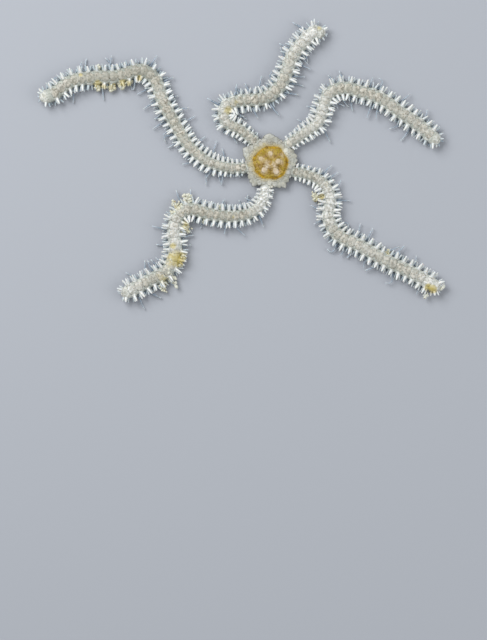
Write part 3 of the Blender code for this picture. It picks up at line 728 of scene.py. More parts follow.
# %% The tube feet of the arms
FOOT_ANGLE = math.radians(-40.0)
FOOT_STATIONS = 9
FOOT_REACH = 4.3 * MM
FOOT_ROOTED = 0.5 * MM
FOOT_ROOT_RADIUS = 0.31 * MM
FOOT_END_RADIUS = 0.15 * MM
FOOT_KNOB = 0.2 * MM
FOOT_LEVEL = 0.6 * MM
FOOT_MARGIN = 0.25 * MM
FOOT_PLACES = (0.02, 0.16)
FOOT_LENGTHS = (0.6, 1.1)
FOOT_WIDTHS = (0.9, 1.12)
KNOB_SHARE = 0.08
FOOT_TAPER = 1.3
FOOT_END = 0.6
FOOT_ARCH = 0.9
FIRST_FOOT = 4
LAST_FOOT = 1
FEET_PERIOD = 4
MORE_FEET = 0.3
HOOKED_FEET = 0.14
HOOK_TURN = 1.9
HOOK_STARTS = 0.6
SWING = 0.5
CURL = 0.28


def foot_roots(arm, chance):
    """Segments and sides of the feet: by turns on both sides, and more where chance has it."""
    first, last = SEGMENTS_INSIDE + FIRST_FOOT, len(arm.ends) - 1 - LAST_FOOT
    number, side = (part.ravel() for part in np.meshgrid(np.arange(first, last), (-1.0, 1.0), indexing="ij"))
    by_turns = (number - SEGMENTS_INSIDE) % FEET_PERIOD == np.where(side < 0.0, 1, 3)
    kept = by_turns | (chance.random(len(side)) < MORE_FEET)
    return number[kept], side[kept]


def arm_feet(arm, seed):
    """Feet as curved and tapered rods, each shortened where another arm is in its way."""
    chance = np.random.default_rng(seed)
    number, side = foot_roots(arm, chance)
    count = len(side)
    along = arm.ends[number] + chance.uniform(*FOOT_PLACES, count) * SEGMENT_FAR
    angle = np.where(side > 0.0, FOOT_ANGLE, math.pi - FOOT_ANGLE)
    root, _, _ = arm_points(arm, along, angle)
    heading = arm.heading(along)
    outwards = np.arctan2(-heading[:, 0] * side, heading[:, 1] * side) + chance.uniform(-SWING, SWING, count)
    share = np.linspace(0.0, 1.0, FOOT_STATIONS)
    hooked = np.where(chance.random(count) < HOOKED_FEET, chance.choice((-1.0, 1.0), count), 0.0)
    turn = outwards[:, None] + chance.normal(0.0, CURL, count)[:, None] * share
    turn = turn + hooked[:, None] * HOOK_TURN * ease((share - HOOK_STARTS) / (1.0 - HOOK_STARTS))
    length = FOOT_ROOTED + FOOT_REACH * chance.uniform(*FOOT_LENGTHS, count)
    steps = np.stack([np.cos(turn), np.sin(turn)], axis=-1)
    walked = (np.cumsum(steps, axis=1) - steps[:, :1]) * (length / (FOOT_STATIONS - 1))[:, None, None]
    free = free_share(arm, along, root[:, None, :2] + walked, FOOT_MARGIN)
    floor_path = root[:, None, :2] + walked * free[:, None, None] - steps[:, :1] * FOOT_ROOTED
    arch = chance.uniform(0.0, FOOT_ARCH, count)[:, None] * MM * np.sin(share * math.pi * 0.75)
    clear = free > 0.5
    paths = np.concatenate([floor_path, (FOOT_LEVEL + arch)[..., None]], axis=-1)[clear]
    radii = FOOT_END_RADIUS + (FOOT_ROOT_RADIUS - FOOT_END_RADIUS) * (1.0 - share) ** FOOT_TAPER
    radii = np.maximum(radii, FOOT_KNOB * np.exp(-((share - 1.0) / KNOB_SHARE) ** 2))
    radii = radii * chance.uniform(*FOOT_WIDTHS, len(paths))[:, None]
    points, faces = rods(paths, radii, radii[:, -1] * FOOT_END)
    values = {"reach": along_rods(len(paths), FOOT_STATIONS)}
    patches = bake_patches(along[clear] / arm.total, angle[clear], FOOT_STATIONS)
    return make_piece(arm.name + "_feet", points, faces, values, patches)


feet = on_each(arms.values(), arm_feet, 40)

# %% [markdown]
# In a few places the spines and the back hold on to yellow and cream crumbs of mud and sponge, an eighth
# of the arm's width to a quarter of it across. A clump is a string of crumbs from the skin outwards, so
# none hangs in the air. A crumb is a ball whose surface is pushed in and out by ripples.

# %% The crumbs on the arms
CLUMPS = {
    "arm_3": (((312.5, 197.0), 3.0, 32, 0.5), ((319.0, 198.0), 3.4, 30, 0.1), ((388.5, 250.5), 2.0, 12, 0.4),
              ((443.5, 285.5), 1.8, 12, 1.0), ((424.5, 298.0), 1.6, 12, 1.0)),
    "arm_4": (((187.1, 197.0), 4.4, 50, 0.8), ((176.0, 205.0), 4.6, 46, 0.6), ((187.5, 228.0), 4.6, 48, 0.3),
              ((180.0, 208.5), 5.0, 40, 0.7), ((174.5, 213.0), 4.4, 30, 0.7), ((184.0, 225.0), 4.4, 36, 0.6),
              ((168.0, 272.0), 4.4, 28, 0.8), ((162.5, 283.0), 4.0, 24, 0.8), ((172.0, 259.0), 4.4, 24, 0.2),
              ((204.5, 221.7), 2.4, 16, 0.6), ((219.8, 206.3), 1.6, 10, 0.5), ((181.5, 257.0), 4.6, 50, 0.1),
              ((181.0, 264.0), 3.4, 26, 0.3), ((171.5, 278.0), 3.8, 36, 0.7), ((164.0, 288.5), 3.4, 30, 0.7),
              ((177.5, 287.0), 1.6, 8, 0.9)),
    "arm_5": (((98.0, 88.5), 3.4, 30, 0.4), ((112.5, 88.8), 3.4, 28, 0.4), ((121.5, 87.5), 3.2, 26, 0.5),
              ((130.0, 83.5), 3.0, 24, 0.3), ((139.0, 79.5), 3.2, 28, 0.1), ((97.6, 67.0), 2.4, 20, 0.7),
              ((105.5, 88.5), 1.8, 10, 0.6)),
}
CRUMB_RADIUS = 0.38 * MM
CRUMB_SIZES = (0.55, 1.25)
CRUMB_RINGS = 5
CRUMB_POINTS = 8
CRUMB_SPREAD = 0.45
CRUMB_SPREAD_UP = 0.25 * MM
CRUMB_LUMPS, CRUMB_LUMP_SIZE = 0.12 * MM, 0.45 * MM
CRUMB_LOWEST, CRUMB_HIGHEST = 0.3 * MM, 3.2 * MM
CLUMP_END_LEVEL = 1.7 * MM
POLE_TILT = 0.15


def crumb_places(arm, pixel, spread, count, chance):
    """Places from the nearest point of the arm's skin to the clump's middle, strewn about that line."""
    target = np.array(on_floor(pixel))
    marks = np.linspace(0.0, arm.total, 400)
    nearest = marks[np.argmin(np.linalg.norm(arm.place(marks) - target, axis=-1))]
    middle, heading = arm.place(nearest), arm.heading(nearest)
    aside = float((target - middle) @ (heading[1], -heading[0]))
    half_width = float(arm.grown(nearest, HALF_WIDTH_AT_DISC, HALF_WIDTH_FAR))
    cosine = np.clip(aside / half_width, -1.0, 1.0)
    root, _, _ = arm_points(arm, np.array([nearest]), np.array([math.acos(cosine)]))
    end = np.array((*target, min(root[0, 2] + 0.1 * MM, CLUMP_END_LEVEL)))
    share = np.sqrt(chance.random(count))[:, None]
    around = (spread * PIXEL, spread * PIXEL, CRUMB_SPREAD_UP)
    return root + (end - root) * share + chance.normal(0.0, CRUMB_SPREAD, (count, 3)) * around


def arm_crumbs(arm, seed):
    """Crumbs of an arm: uneven balls, whose points lie at the cosine and sine of two angles."""
    chance = np.random.default_rng(seed)
    centres = np.vstack([crumb_places(arm, *clump[:3], chance) for clump in CLUMPS[arm.name]])
    pale = np.concatenate([np.full(clump[2], clump[3]) for clump in CLUMPS[arm.name]])
    radius = CRUMB_RADIUS * chance.uniform(*CRUMB_SIZES, len(centres))
    down = np.linspace(POLE_TILT, math.pi - POLE_TILT, CRUMB_RINGS)[:, None]
    turn = np.linspace(0.0, math.tau, CRUMB_POINTS, endpoint=False)
    ball = (np.sin(down) * np.cos(turn), np.sin(down) * np.sin(turn), np.cos(down))
    ball = np.stack(np.broadcast_arrays(*ball), axis=-1)
    bodies = centres[:, None, None] + ball * radius[:, None, None, None]
    bodies = bodies + ball * (ripple(bodies, CRUMB_LUMP_SIZE, 31) * CRUMB_LUMPS)[..., None]
    poles = centres[:, None] + np.array(((0.0, 0.0, 1.0), (0.0, 0.0, -1.0))) * radius[:, None, None]
    for part in (bodies, poles):
        part[..., 2] = np.clip(part[..., 2], CRUMB_LOWEST, CRUMB_HIGHEST)
    points, faces = joined(bodies, poles)
    values = {"tone": per_point(chance.uniform(0.0, 1.0, len(centres)), CRUMB_RINGS, CRUMB_POINTS),
              "pale": per_point(pale, CRUMB_RINGS, CRUMB_POINTS)}
    return make_piece(arm.name + "_crumbs", points, faces, values)


crumbs = on_each([arms[name] for name in CLUMPS], arm_crumbs, 80)

# %% [markdown]
# The disc is a low button under a coat of chalky scales. Five large pale scales stand round a small one
# in the middle, inside an amber ring. A pair of long shields lies where each arm joins, and pointed
# scales stand out between the arms as lobes. The ring is a line of straight pieces between its corners,
# strong in some stretches and nearly gone in others.

# %% The outline and the ring of the disc
BASE_REACH = 6.05 * MM
LOBES = (
    (91.0, 7.4, 12.0), (76.0, 6.7, 9.0), (105.0, 6.5, 8.0),
    (26.0, 6.8, 7.0), (15.0, 7.1, 7.0), (5.0, 7.0, 7.0), (-4.0, 6.6, 6.0),
    (-47.0, 6.7, 7.0), (-58.5, 7.5, 6.0), (-68.0, 6.9, 7.0), (-77.0, 6.4, 6.0),
    (-118.0, 6.5, 6.0), (-127.0, 7.45, 6.5), (-135.0, 7.2, 6.0), (-144.0, 6.8, 7.0),
    (153.0, 7.75, 8.0), (162.0, 7.2, 7.0), (143.0, 6.8, 8.0), (169.0, 6.5, 6.0),
)
RING_CORNERS = np.array((
    (8.0, 4.15, 1.0), (20.0, 3.97, 0.7), (32.0, 3.97, 0.25), (42.0, 4.0, 0.3), (56.0, 4.2, 0.5),
    (75.0, 3.8, 1.0), (90.0, 3.75, 0.8), (104.0, 3.85, 1.0), (112.0, 3.75, 0.55), (123.0, 3.7, 0.45),
    (135.0, 3.65, 0.6), (146.0, 3.7, 0.95), (160.0, 3.95, 1.0), (172.0, 4.1, 1.0), (178.0, 4.1, 0.1),
    (200.0, 3.85, 0.1), (208.0, 4.1, 0.95), (227.0, 3.9, 1.0), (245.0, 4.0, 1.0), (252.0, 4.0, 0.25),
    (270.0, 3.85, 0.3), (281.0, 4.0, 0.95), (298.0, 4.16, 1.0), (316.0, 4.3, 0.9), (327.0, 4.25, 0.6),
    (340.0, 4.2, 0.6), (352.0, 4.2, 1.0),
))
arm_directions = np.array(sorted(ARM_DIRECTIONS.values()))
between_arms = (arm_directions + np.append(arm_directions[1:], arm_directions[0] + 360.0)) / 2


def degrees_apart(turn, directions):
    """How many degrees each angle is from each of the directions, at most 180."""
    return np.abs((np.degrees(turn)[..., None] - directions + 180.0) % 360.0 - 180.0)


def base_reach(turn):
    """The reach of the disc under its scales: a circle that swells by half a lobe, in round waves."""
    directions, reaches, half_widths = np.array(LOBES).T
    away = np.minimum(degrees_apart(turn, directions) / (half_widths * 1.5), 1.0)
    beyond = (reaches * MM - BASE_REACH) * (0.5 + 0.5 * np.cos(math.pi * away))
    return BASE_REACH + 0.5 * beyond.max(axis=-1)


def ring_at(turn):
    """The radius of the amber ring at each angle and its strength, straight between the ring's corners."""
    corners, radii, strengths = RING_CORNERS.T
    radius = np.interp(np.degrees(turn), corners, radii, period=360.0) * MM
    return radius, np.interp(np.degrees(turn), corners, strengths, period=360.0)


widest = base_reach(np.linspace(0.0, math.tau, 720)).max()
print("the disc reaches", round(float(widest / MM), 2), "mm under its scales")

# %% [markdown]
# The body under the scales is one closed surface in four bands: a low dome that falls to the rim, the
# rounded edge, the underside with five shields round the mouth and breathing slits beside the arms, and
# the mouth's wall and ceiling.

# %% The body of the disc
DOME_HEIGHT = 3.32 * MM
DOME_FALL = 0.5 * MM
DOME_RADIUS = 4.15 * MM
EDGE_HEIGHT = 2.15 * MM
EDGE_ROUND = 0.5 * MM
UNDERSIDE = 0.3 * MM
SHIELD_CIRCLE = 4.2 * MM
SHIELD_RADIUS = 1.0 * MM
MOUTH_RADIUS = 2.85 * MM
MOUTH_CEILING = 1.7 * MM
MOUTH_RINGS = np.array(((1.0, 0.7), (0.98, 1.1), (0.94, 1.5), (0.8, 1.68), (0.4, 1.7), (0.05, 1.7)))
SLIT_FROM_ARM = 1.72 * MM
SLIT_WIDTH = 0.13 * MM
SLIT_DEPTH = 0.25 * MM
SLIT_STARTS = 4.5 * MM
ARM_HALF_ANGLE = 21.0
ARM_EDGE_ANGLE = 6.0
SHIELD_POWER = 2.2
MOUTH_LIP = 0.25 * MM
UNDER_RIPPLE, UNDER_RIPPLE_SIZE = 0.03 * MM, 0.7 * MM
INSIDE_BEYOND, INSIDE_FADE = 0.26 * MM, 0.14 * MM
COLUMNS = 360
TOP_ROWS = 60
EDGE_ROWS = 14
UNDER_ROWS = 50


def toward_arm(turn):
    """1 at the angle of an arm, falling to 0 beside it."""
    return ease((ARM_HALF_ANGLE - degrees_apart(turn, arm_directions).min(axis=-1)) / ARM_EDGE_ANGLE)


def dome_level(x, y):
    """The height of the dome: it falls with the square of the radius, then more steeply to the rim."""
    radius, turn = np.hypot(x, y), np.arctan2(y, x)
    rim = base_reach(turn) - EDGE_ROUND
    at_rim = EDGE_HEIGHT + (HEIGHT_AT_DISC - EDGE_HEIGHT) * toward_arm(turn)
    beyond = np.clip((radius - DOME_RADIUS) / (rim - DOME_RADIUS), 0.0, 1.6)
    falling = DOME_HEIGHT - DOME_FALL + (at_rim - DOME_HEIGHT + DOME_FALL) * beyond ** 1.4
    return np.where(radius < DOME_RADIUS, DOME_HEIGHT - DOME_FALL * (radius / DOME_RADIUS) ** 2, falling)


def round_the_middle(radius, height, turn):
    """Points at those distances, heights and angles, once the three are matched to one shape."""
    return np.stack(np.broadcast_arrays(radius * np.cos(turn), radius * np.sin(turn), height), axis=-1)


def edge_points(turn, tilt, rise=0.0):
    """Points on the rounded edge: half an oval from the rim's top to its underside, plus a rise."""
    rim = base_reach(turn) - EDGE_ROUND
    top = dome_level(rim * np.cos(turn), rim * np.sin(turn))
    radius = rim + EDGE_ROUND * np.cos(tilt) + rise * np.cos(tilt)
    level = (top + UNDERSIDE) / 2 + (top - UNDERSIDE) / 2 * np.sin(tilt) + rise * np.sin(tilt)
    return round_the_middle(radius, level, turn)


def under_band(turn):
    """The underside, level but for the shields that touch the floor and the slits. Marks both."""
    rim = base_reach(turn) - EDGE_ROUND
    radius = rim + (MOUTH_RADIUS - rim) * np.linspace(0.0, 1.0, UNDER_ROWS)[1:, None]
    from_shield = np.radians(degrees_apart(turn, between_arms).min(axis=-1)) * radius
    outwards = radius - SHIELD_CIRCLE
    beside = from_shield / (SHIELD_RADIUS - 0.25 * outwards)
    oval = np.abs(outwards / SHIELD_RADIUS) ** SHIELD_POWER + np.abs(beside) ** SHIELD_POWER
    shield = ease((1.0 - oval) / 0.3)
    from_slit = np.radians(degrees_apart(turn, arm_directions).min(axis=-1)) * radius - SLIT_FROM_ARM
    beyond = ease((radius - SLIT_STARTS) / (0.4 * MM))
    slit = np.exp(-(from_slit / SLIT_WIDTH) ** 2) * beyond * (1.0 - shield)
    from_mouth = ease((radius - MOUTH_RADIUS) / MOUTH_LIP)
    grid = round_the_middle(radius, UNDERSIDE, turn)
    bumps = ripple(grid, UNDER_RIPPLE_SIZE, 5) * UNDER_RIPPLE * (1.0 - shield)
    grid[..., 2] += from_mouth * (slit * SLIT_DEPTH + bumps - shield * (UNDERSIDE - 0.01 * MM))
    return grid, slit, shield


def disc_skin():
    """Joins the four bands to one grid and closes its two poles."""
    turn = np.linspace(0.0, math.tau, COLUMNS, endpoint=False)
    radius = np.linspace(0.004, 1.0, TOP_ROWS)[:, None] * (base_reach(turn) - EDGE_ROUND)
    top = round_the_middle(radius, dome_level(radius * np.cos(turn), radius * np.sin(turn)), turn)
    edge = edge_points(turn, np.linspace(math.pi / 2, -math.pi / 2, EDGE_ROWS)[1:, None])
    below, slit, shield = under_band(turn)
    mouth = round_the_middle(MOUTH_RINGS[:, :1] * MOUTH_RADIUS, MOUTH_RINGS[:, 1:] * MM, turn)
    bands = (top, edge, below, mouth)
    grid = np.concatenate(bands)
    poles = ((0.0, 0.0, grid[0, :, 2].mean()), (0.0, 0.0, MOUTH_CEILING))
    points = np.vstack([grid.reshape(-1, 3), poles])
    # The dark mark is painted shade: in the breathing slits and over the mouth's wall and ceiling.
    values = {"under": (0.0, 0.5, 1.0, 1.0), "dark": (0.0, 0.0, slit, 1.0), "shield": (0.0, 0.0, shield, 0.0)}
    for label, marks in values.items():
        whole = np.concatenate([np.broadcast_to(part, band.shape[:2]) for part, band in zip(marks, bands)])
        values[label] = np.append(whole.ravel(), (whole[0, 0], whole[-1, 0]))
    values["inside"] = inside_ring(points[:, 0], points[:, 1]) * (1.0 - values["under"])
    points[:, :2] += DISC_PLACE
    return make_piece("disc_skin", points, tube_faces(len(grid), COLUMNS), values)


def inside_ring(x, y):
    """1 inside the amber ring, falling to 0 just outside it."""
    ring, _ = ring_at(np.arctan2(y, x))
    return ease((ring + INSIDE_BEYOND - np.hypot(x, y)) / INSIDE_FADE)


disc = disc_skin()
print("disc", len(disc.data.polygons), "faces")

# %% [markdown]
# The scales are lenses again, like the plates of the arms. First come the scales that the eye picks out:
# the middle one, the five pale ones, the shields and the lobes. Rings of small scales fill the rest, at
# places jogged by chance, and those that would hide under a large scale are left away.

# %% Places and sizes of the scales
SPOT_PIXELS = ((270.3, 154.5), (277.9, 162.0), (275.4, 171.2), (264.6, 169.8), (261.2, 159.6))
SPOT_SIZES = (0.66, 0.8, 0.78, 0.74, 0.68)
SPOT_STRETCH = (1.2, 1.0, 1.45, 1.4, 1.15)
SPOT_PALENESS = (1.0, 0.75, 1.0, 0.95, 0.55)
RING_STEP = 0.47
SCALE_SPACING = 0.6
SMALL_SCALE = 0.4
SMALL_REST = (1.15, 0.075, 0.0)
ARM_SHIELD_RADIUS = 5.0
ARM_SHIELD_ASIDE = 8.5
ARM_SHIELD_TURN = 4.0
ARM_SHIELD_SIZES = (0.66, 0.86, 0.85, 0.16, 0.0)
MIDDLE_SCALE = (-0.2, 0.1, 90.0, 0.42, 0.42, 1.0, 0.12, 0.15)
SPOT_REST = (0.8, 0.12)
LOBE_REST = (2.0, 0.15, 0.0)
HIDDEN_WITHIN = 0.9
FIRST_RING, LAST_RING = 0.85, 6.3
JOG_ROUND, JOG_OUT = 0.06, 0.07
SMALL_SIZES = (0.85, 1.2)
OUTER_RINGS, OUTER_SMALLER = 5.0, 0.18
LOBE_FROM, LOBE_HALF_LENGTH, LOBE_STRETCH, LOBE_WIDTH = 6.0, 0.62, 0.3, 1.2
spot_places = (np.array([on_floor(pixel) for pixel in SPOT_PIXELS]) - DISC_PLACE) / MM


def at_angle(radius, degrees):
    """The place at a radius and an angle from the middle of the disc."""
    return radius * math.cos(math.radians(degrees)), radius * math.sin(math.radians(degrees))


def large_scales():
    """Rows of place, direction, half width, half length, point, thickness and paleness, in millimetres."""
    scales = [MIDDLE_SCALE]
    for (x, y), size, stretch, pale in zip(spot_places, SPOT_SIZES, SPOT_STRETCH, SPOT_PALENESS):
        scales.append((x, y, math.degrees(math.atan2(y, x)), size, size * stretch, *SPOT_REST, pale))
    for angle in arm_directions:
        for side in (-1, 1):
            place = at_angle(ARM_SHIELD_RADIUS, angle + side * ARM_SHIELD_ASIDE)
            scales.append((*place, angle + side * ARM_SHIELD_TURN, *ARM_SHIELD_SIZES))
    for angle, reach, half_width in LOBES:
        half_length = LOBE_HALF_LENGTH + LOBE_STRETCH * (reach - LOBE_FROM)
        middle = reach - half_length
        wide = middle * math.radians(half_width) * LOBE_WIDTH
        scales.append((*at_angle(middle, angle), angle, wide, half_length, *LOBE_REST))
    return np.array(scales)


def small_scales(large, chance):
    """Rows like those of the large scales, in rings whose scales are a spacing apart."""
    scales = []
    for radius in np.arange(FIRST_RING, LAST_RING, RING_STEP):
        number = round(math.tau * radius / SCALE_SPACING)
        angle = (np.arange(number) + chance.random()) * math.tau / number
        angle = angle + chance.normal(0.0, JOG_ROUND, number) / radius
        away = radius + chance.normal(0.0, JOG_OUT, number)
        smaller = 1.0 - OUTER_SMALLER * (radius > OUTER_RINGS)
        wide, long = SMALL_SCALE * chance.uniform(*SMALL_SIZES, (2, number)) * smaller
        place = (away * np.cos(angle), away * np.sin(angle), np.degrees(angle))
        scales.append(np.column_stack([*place, wide, long, np.tile(SMALL_REST, (number, 1))]))
    scales = np.vstack(scales)
    apart = np.linalg.norm(scales[:, None, :2] - large[:, :2], axis=-1) / large[:, 3:5].min(axis=1)
    return scales[apart.min(axis=1) > HIDDEN_WITHIN]


large = large_scales()
scale_rows = np.vstack([large, small_scales(large, np.random.default_rng(5))])
print(len(large), "large scales and", len(scale_rows) - len(large), "small ones")

# %% [markdown]
# What colour a scale has depends on where it lies. The marks for the ring, the field inside it, the painted
# shade patches and the bright spots are worked out at a place between the scale's middle and each of its
# points, so that the pattern follows the scales and is broken at their edges, as in the photo. A few
# small scales beside the five large pale ones are pale as a whole.

# %% The colour marks of the scales
RING_WIDTH = 0.36 * MM
RING_THIN, RING_FLARE = 0.5, 0.65
HALO_WIDTH = 1.5 * MM
HALO_MEAN, HALO_SWING = 1.1, 0.45
RIM_STARTS, RIM_WIDTH = 6.3 * MM, 0.9 * MM
HALO_SIDE = math.radians(150.0)
# Painted shade: dark ochre spots between the five pale scales.
PAINTED_SHADE_SPOTS = (
    (270.2, 169.6, 2.1, 1.0), (275.0, 157.0, 1.9, 0.8), (277.9, 166.6, 2.0, 0.9), (263.0, 165.3, 1.7, 0.6),
    (270.2, 160.0, 2.4, 0.25), (265.8, 157.0, 1.8, 0.45), (260.0, 166.4, 1.6, 0.5),
)
YELLOW_SPOTS = (
    (276.0, 150.8, 2.8, 1.0), (264.0, 152.6, 2.6, 0.8), (270.0, 149.2, 2.2, 0.7), (279.8, 167.5, 2.0, 0.6),
    (258.0, 157.5, 2.0, 0.7), (259.0, 171.5, 2.2, 0.7), (283.0, 161.5, 1.8, 0.6), (276.0, 175.0, 2.0, 0.6),
)
BRIGHT_SPOTS = (
    (285.8, 152.2, 3.2, 1.0), (270.0, 187.0, 4.8, 1.0), (282.0, 183.5, 2.4, 0.5), (252.5, 173.5, 2.4, 0.4),
)
LIGHT_SPOTS = (
    (267.6, 166.2, 2.6, 1.0), (273.2, 164.5, 2.3, 1.0), (266.4, 163.0, 2.4, 0.9), (280.0, 161.6, 2.2, 0.8),
    (264.4, 171.4, 3.2, 0.7), (275.8, 172.6, 3.2, 0.8), (270.1, 154.5, 3.0, 0.6), (277.0, 163.0, 2.4, 0.7),
    (282.5, 156.0, 2.6, 0.7), (261.5, 159.5, 3.0, 0.5), (273.5, 167.0, 1.6, 0.6), (278.0, 175.5, 2.2, 0.5),
)
GREY_SPOTS = (
    (270.0, 142.0, 4.2, 1.0), (291.5, 150.0, 3.2, 0.7), (249.0, 150.5, 3.6, 0.55), (291.0, 172.0, 3.0, 0.4),
    (254.0, 178.0, 3.0, 0.4), (281.5, 142.5, 3.0, 0.6), (258.0, 143.5, 3.5, 0.5), (248.5, 163.0, 3.0, 0.5),
)
PALE_SPOTS = (
    (266.8, 167.3, 2.3, 0.8), (274.4, 167.4, 2.1, 0.75), (280.8, 162.6, 2.1, 0.6), (271.6, 157.4, 1.5, 0.45),
    (263.3, 160.8, 1.7, 0.5), (262.8, 172.4, 1.6, 0.5), (277.0, 173.8, 1.7, 0.5), (258.6, 158.2, 1.5, 0.3),
)
PATTERN_FOLLOWS = 0.85


def spots_at(x, y, spots):
    """The largest of several bell curves, each round its own spot."""
    column, row, radius, strength = np.array(spots).T
    spot_x, spot_y = on_floor((column, row))
    away = np.hypot(x[..., None] + DISC_PLACE[0] - spot_x, y[..., None] + DISC_PLACE[1] - spot_y)
    return (strength * np.exp(-(away / (radius * PIXEL)) ** 2)).max(axis=-1)


def colour_marks(x, y):
    """Marks at places on the disc: ring, field inside the ring, painted shade patches, bright spots and
    stains.
    """
    away, turn = np.hypot(x, y), np.arctan2(y, x)
    ring, strength = ring_at(turn)
    inside = inside_ring(x, y)
    width = RING_WIDTH * (RING_THIN + RING_FLARE * strength)
    halo_width = HALO_WIDTH * (HALO_MEAN + HALO_SWING * np.cos(turn - HALO_SIDE))
    return {
        "ring": strength * np.exp(-((away - ring) / width) ** 4),
        "inside": inside,
        "halo": ease((ring + halo_width - away) / halo_width),
        # painted shade between the five pale scales
        "dark": spots_at(x, y, PAINTED_SHADE_SPOTS) * inside,
        "yellow": spots_at(x, y, YELLOW_SPOTS) * inside,
        "light": spots_at(x, y, LIGHT_SPOTS) * inside,
        "rim": ease((away - RIM_STARTS) / RIM_WIDTH),
        "bright": spots_at(x, y, BRIGHT_SPOTS) * (1.0 - inside),
        "grey": spots_at(x, y, GREY_SPOTS) * (1.0 - inside),
        "stain": stain_at(x + DISC_PLACE[0], y + DISC_PLACE[1]),
    }


# %% The scales on top of the disc
SCALE_OVERLAP = 0.075 * MM
SCALE_TURNS = 6.0
SCALE_JOG = (-0.02, 0.03)
UNPOINTED = 0.85
SIDE_TILTS = (0.75, 0.2, -0.4)
SIDE_SPACING = 0.75 * MM
SIDE_HALF_WIDTH = 0.42 * MM
SIDE_HALF_TILT = 0.42
SIDE_THICKNESS = 0.12 * MM
SIDE_OVERLAP = 0.07 * MM
SIDE_POINT = 1.1
SIDE_JOG = (-0.15, 0.15)
BESIDE_ARM = 0.6
SPREAD_WIDTH = 22.0 * MM


def scale_outline(pointed):
    """Outlines on a lens, from -1 to 1: an oval whose outer half is drawn to a point by a power over 1."""
    turn = np.linspace(0.0, math.tau, LENS_POINTS, endpoint=False)
    ahead = np.broadcast_to(np.sin(turn), (len(pointed), LENS_POINTS))
    aside = squarer(np.cos(turn), np.where(ahead > 0.0, pointed[:, None], UNPOINTED))
    return on_lens(aside), on_lens(ahead)


def top_scales(rows, seed):
    """Lenses laid on the dome. The outer end of each is raised over the next one, as tiles on a roof."""
    chance = np.random.default_rng(seed)
    x, y = (part[:, None] * MM for part in rows.T[:2])
    turn, wide, long, pointed, thick, pale = rows.T[2:]
    aside, share = scale_outline(pointed)
    aside, ahead = aside * wide[:, None] * MM, share * long[:, None] * MM
    turn = np.radians(turn + chance.normal(0.0, SCALE_TURNS, len(rows)) * (pale == 0.0))[:, None]
    off_x = ahead * np.cos(turn) - aside * np.sin(turn)
    off_y = ahead * np.sin(turn) + aside * np.cos(turn)
    marks = colour_marks(x + off_x * PATTERN_FOLLOWS, y + off_y * PATTERN_FOLLOWS)
    jog = chance.uniform(*SCALE_JOG, (len(rows), 1)) * MM
    lift = LENS_LEVELS * thick[:, None] * MM + share * SCALE_OVERLAP + jog
    points = np.stack([x + off_x, y + off_y, dome_level(x + off_x, y + off_y) + lift], axis=-1)
    marks["tone"] = np.broadcast_to(chance.uniform(-1.0, 1.0, (len(rows), 1)), share.shape)
    marks["pale"] = np.broadcast_to(np.maximum(pale[:, None], spots_at(x, y, PALE_SPOTS)), share.shape)
    marks["edge"] = np.broadcast_to(LENS_EDGES, share.shape)
    return points, marks


def side_scales(seed):
    """Three rows of lenses hung on the rounded edge between the arms, each over the row below it."""
    chance = np.random.default_rng(seed)
    number = round(math.tau * BASE_REACH / SIDE_SPACING)
    step, tilt = np.meshgrid(np.arange(number), SIDE_TILTS, indexing="ij")
    turn = (step + chance.uniform(*SIDE_JOG, step.shape) + (tilt < 0.5) * 0.5) * math.tau / number
    turn, tilt = turn.ravel(), tilt.ravel()
    kept = toward_arm(turn) < BESIDE_ARM
    turn, tilt = turn[kept, None], tilt[kept, None]
    aside, share = (part[0] for part in scale_outline(np.array((SIDE_POINT,))))
    rise = LENS_LEVELS * SIDE_THICKNESS + share * SIDE_OVERLAP
    points = edge_points(turn + aside * SIDE_HALF_WIDTH / BASE_REACH, tilt - share * SIDE_HALF_TILT, rise)
    tone = np.broadcast_to(chance.uniform(-1.0, 1.0, turn.shape), points.shape[:2])
    return points, {"tone": tone, "edge": np.broadcast_to(LENS_EDGES, points.shape[:2])}


def disc_scales():
    """All scales in one piece. On its bake map the disc is spread flat, by angle and by the way out."""
    top, top_marks = top_scales(scale_rows, 9)
    side, side_marks = side_scales(10)
    points, faces = joined_lenses(np.concatenate([top, side]))
    blank = np.zeros(side.shape[:2])
    values = {label: np.concatenate([marks, side_marks.get(label, blank)]).ravel()
              for label, marks in top_marks.items()}
    way_out = np.hypot(points[:, 0], points[:, 1]) + (DOME_HEIGHT - points[:, 2])
    turn = np.arctan2(points[:, 1], points[:, 0])
    spread = 0.5 + way_out[:, None] / SPREAD_WIDTH * np.stack([np.cos(turn), np.sin(turn)], axis=-1)
    points[:, :2] += DISC_PLACE
    return make_piece("disc_scales", points, faces, values, spread)


scales = disc_scales()
print("scales", len(scales.data.polygons), "faces")

# %% [markdown]
# Five jaws close the mouth like the blades of an iris. Each is a wedge of two halves with a groove
# between them, with a row of small blunt papillae on each side and a stack of teeth at the point. It is a
# loft from the mouth's wall inwards, and its papillae and teeth are rods again.

# %% The jaws
JAW_OUTER_RADIUS = 2.6 * MM
JAW_TIP_RADIUS = 0.95 * MM
JAW_HALF_WIDTH = 0.95 * MM
JAW_TIP_HALF_WIDTH = 0.26 * MM
JAW_HEIGHT = 1.3 * MM
JAW_ROWS = 26
JAW_COLUMNS = 40
JAW_POWER = 0.75
JAW_SLOPE = 0.28
JAW_GROOVE, JAW_GROOVE_WIDTH = 0.16, 0.3
JAW_RIDGES, JAW_RIDGE_TURNS = 0.05, 22.0
PAPILLAE = 5
PAPILLA_LENGTH = 0.42 * MM
PAPILLA_LEVEL = 0.27 * MM
TEETH = 3
TOOTH_LENGTH = 0.5 * MM
PEG_RADIUS = 0.17 * MM
PEG_STATIONS = np.array((0.0, 0.5, 0.85, 1.0))
PEG_PROFILE = np.array((1.0, 1.0, 0.8, 0.45))


def jaw_half_width(share):
    """Half the width of a jaw, which narrows from the wall to the point."""
    return JAW_HALF_WIDTH + (JAW_TIP_HALF_WIDTH - JAW_HALF_WIDTH) * share ** 0.8


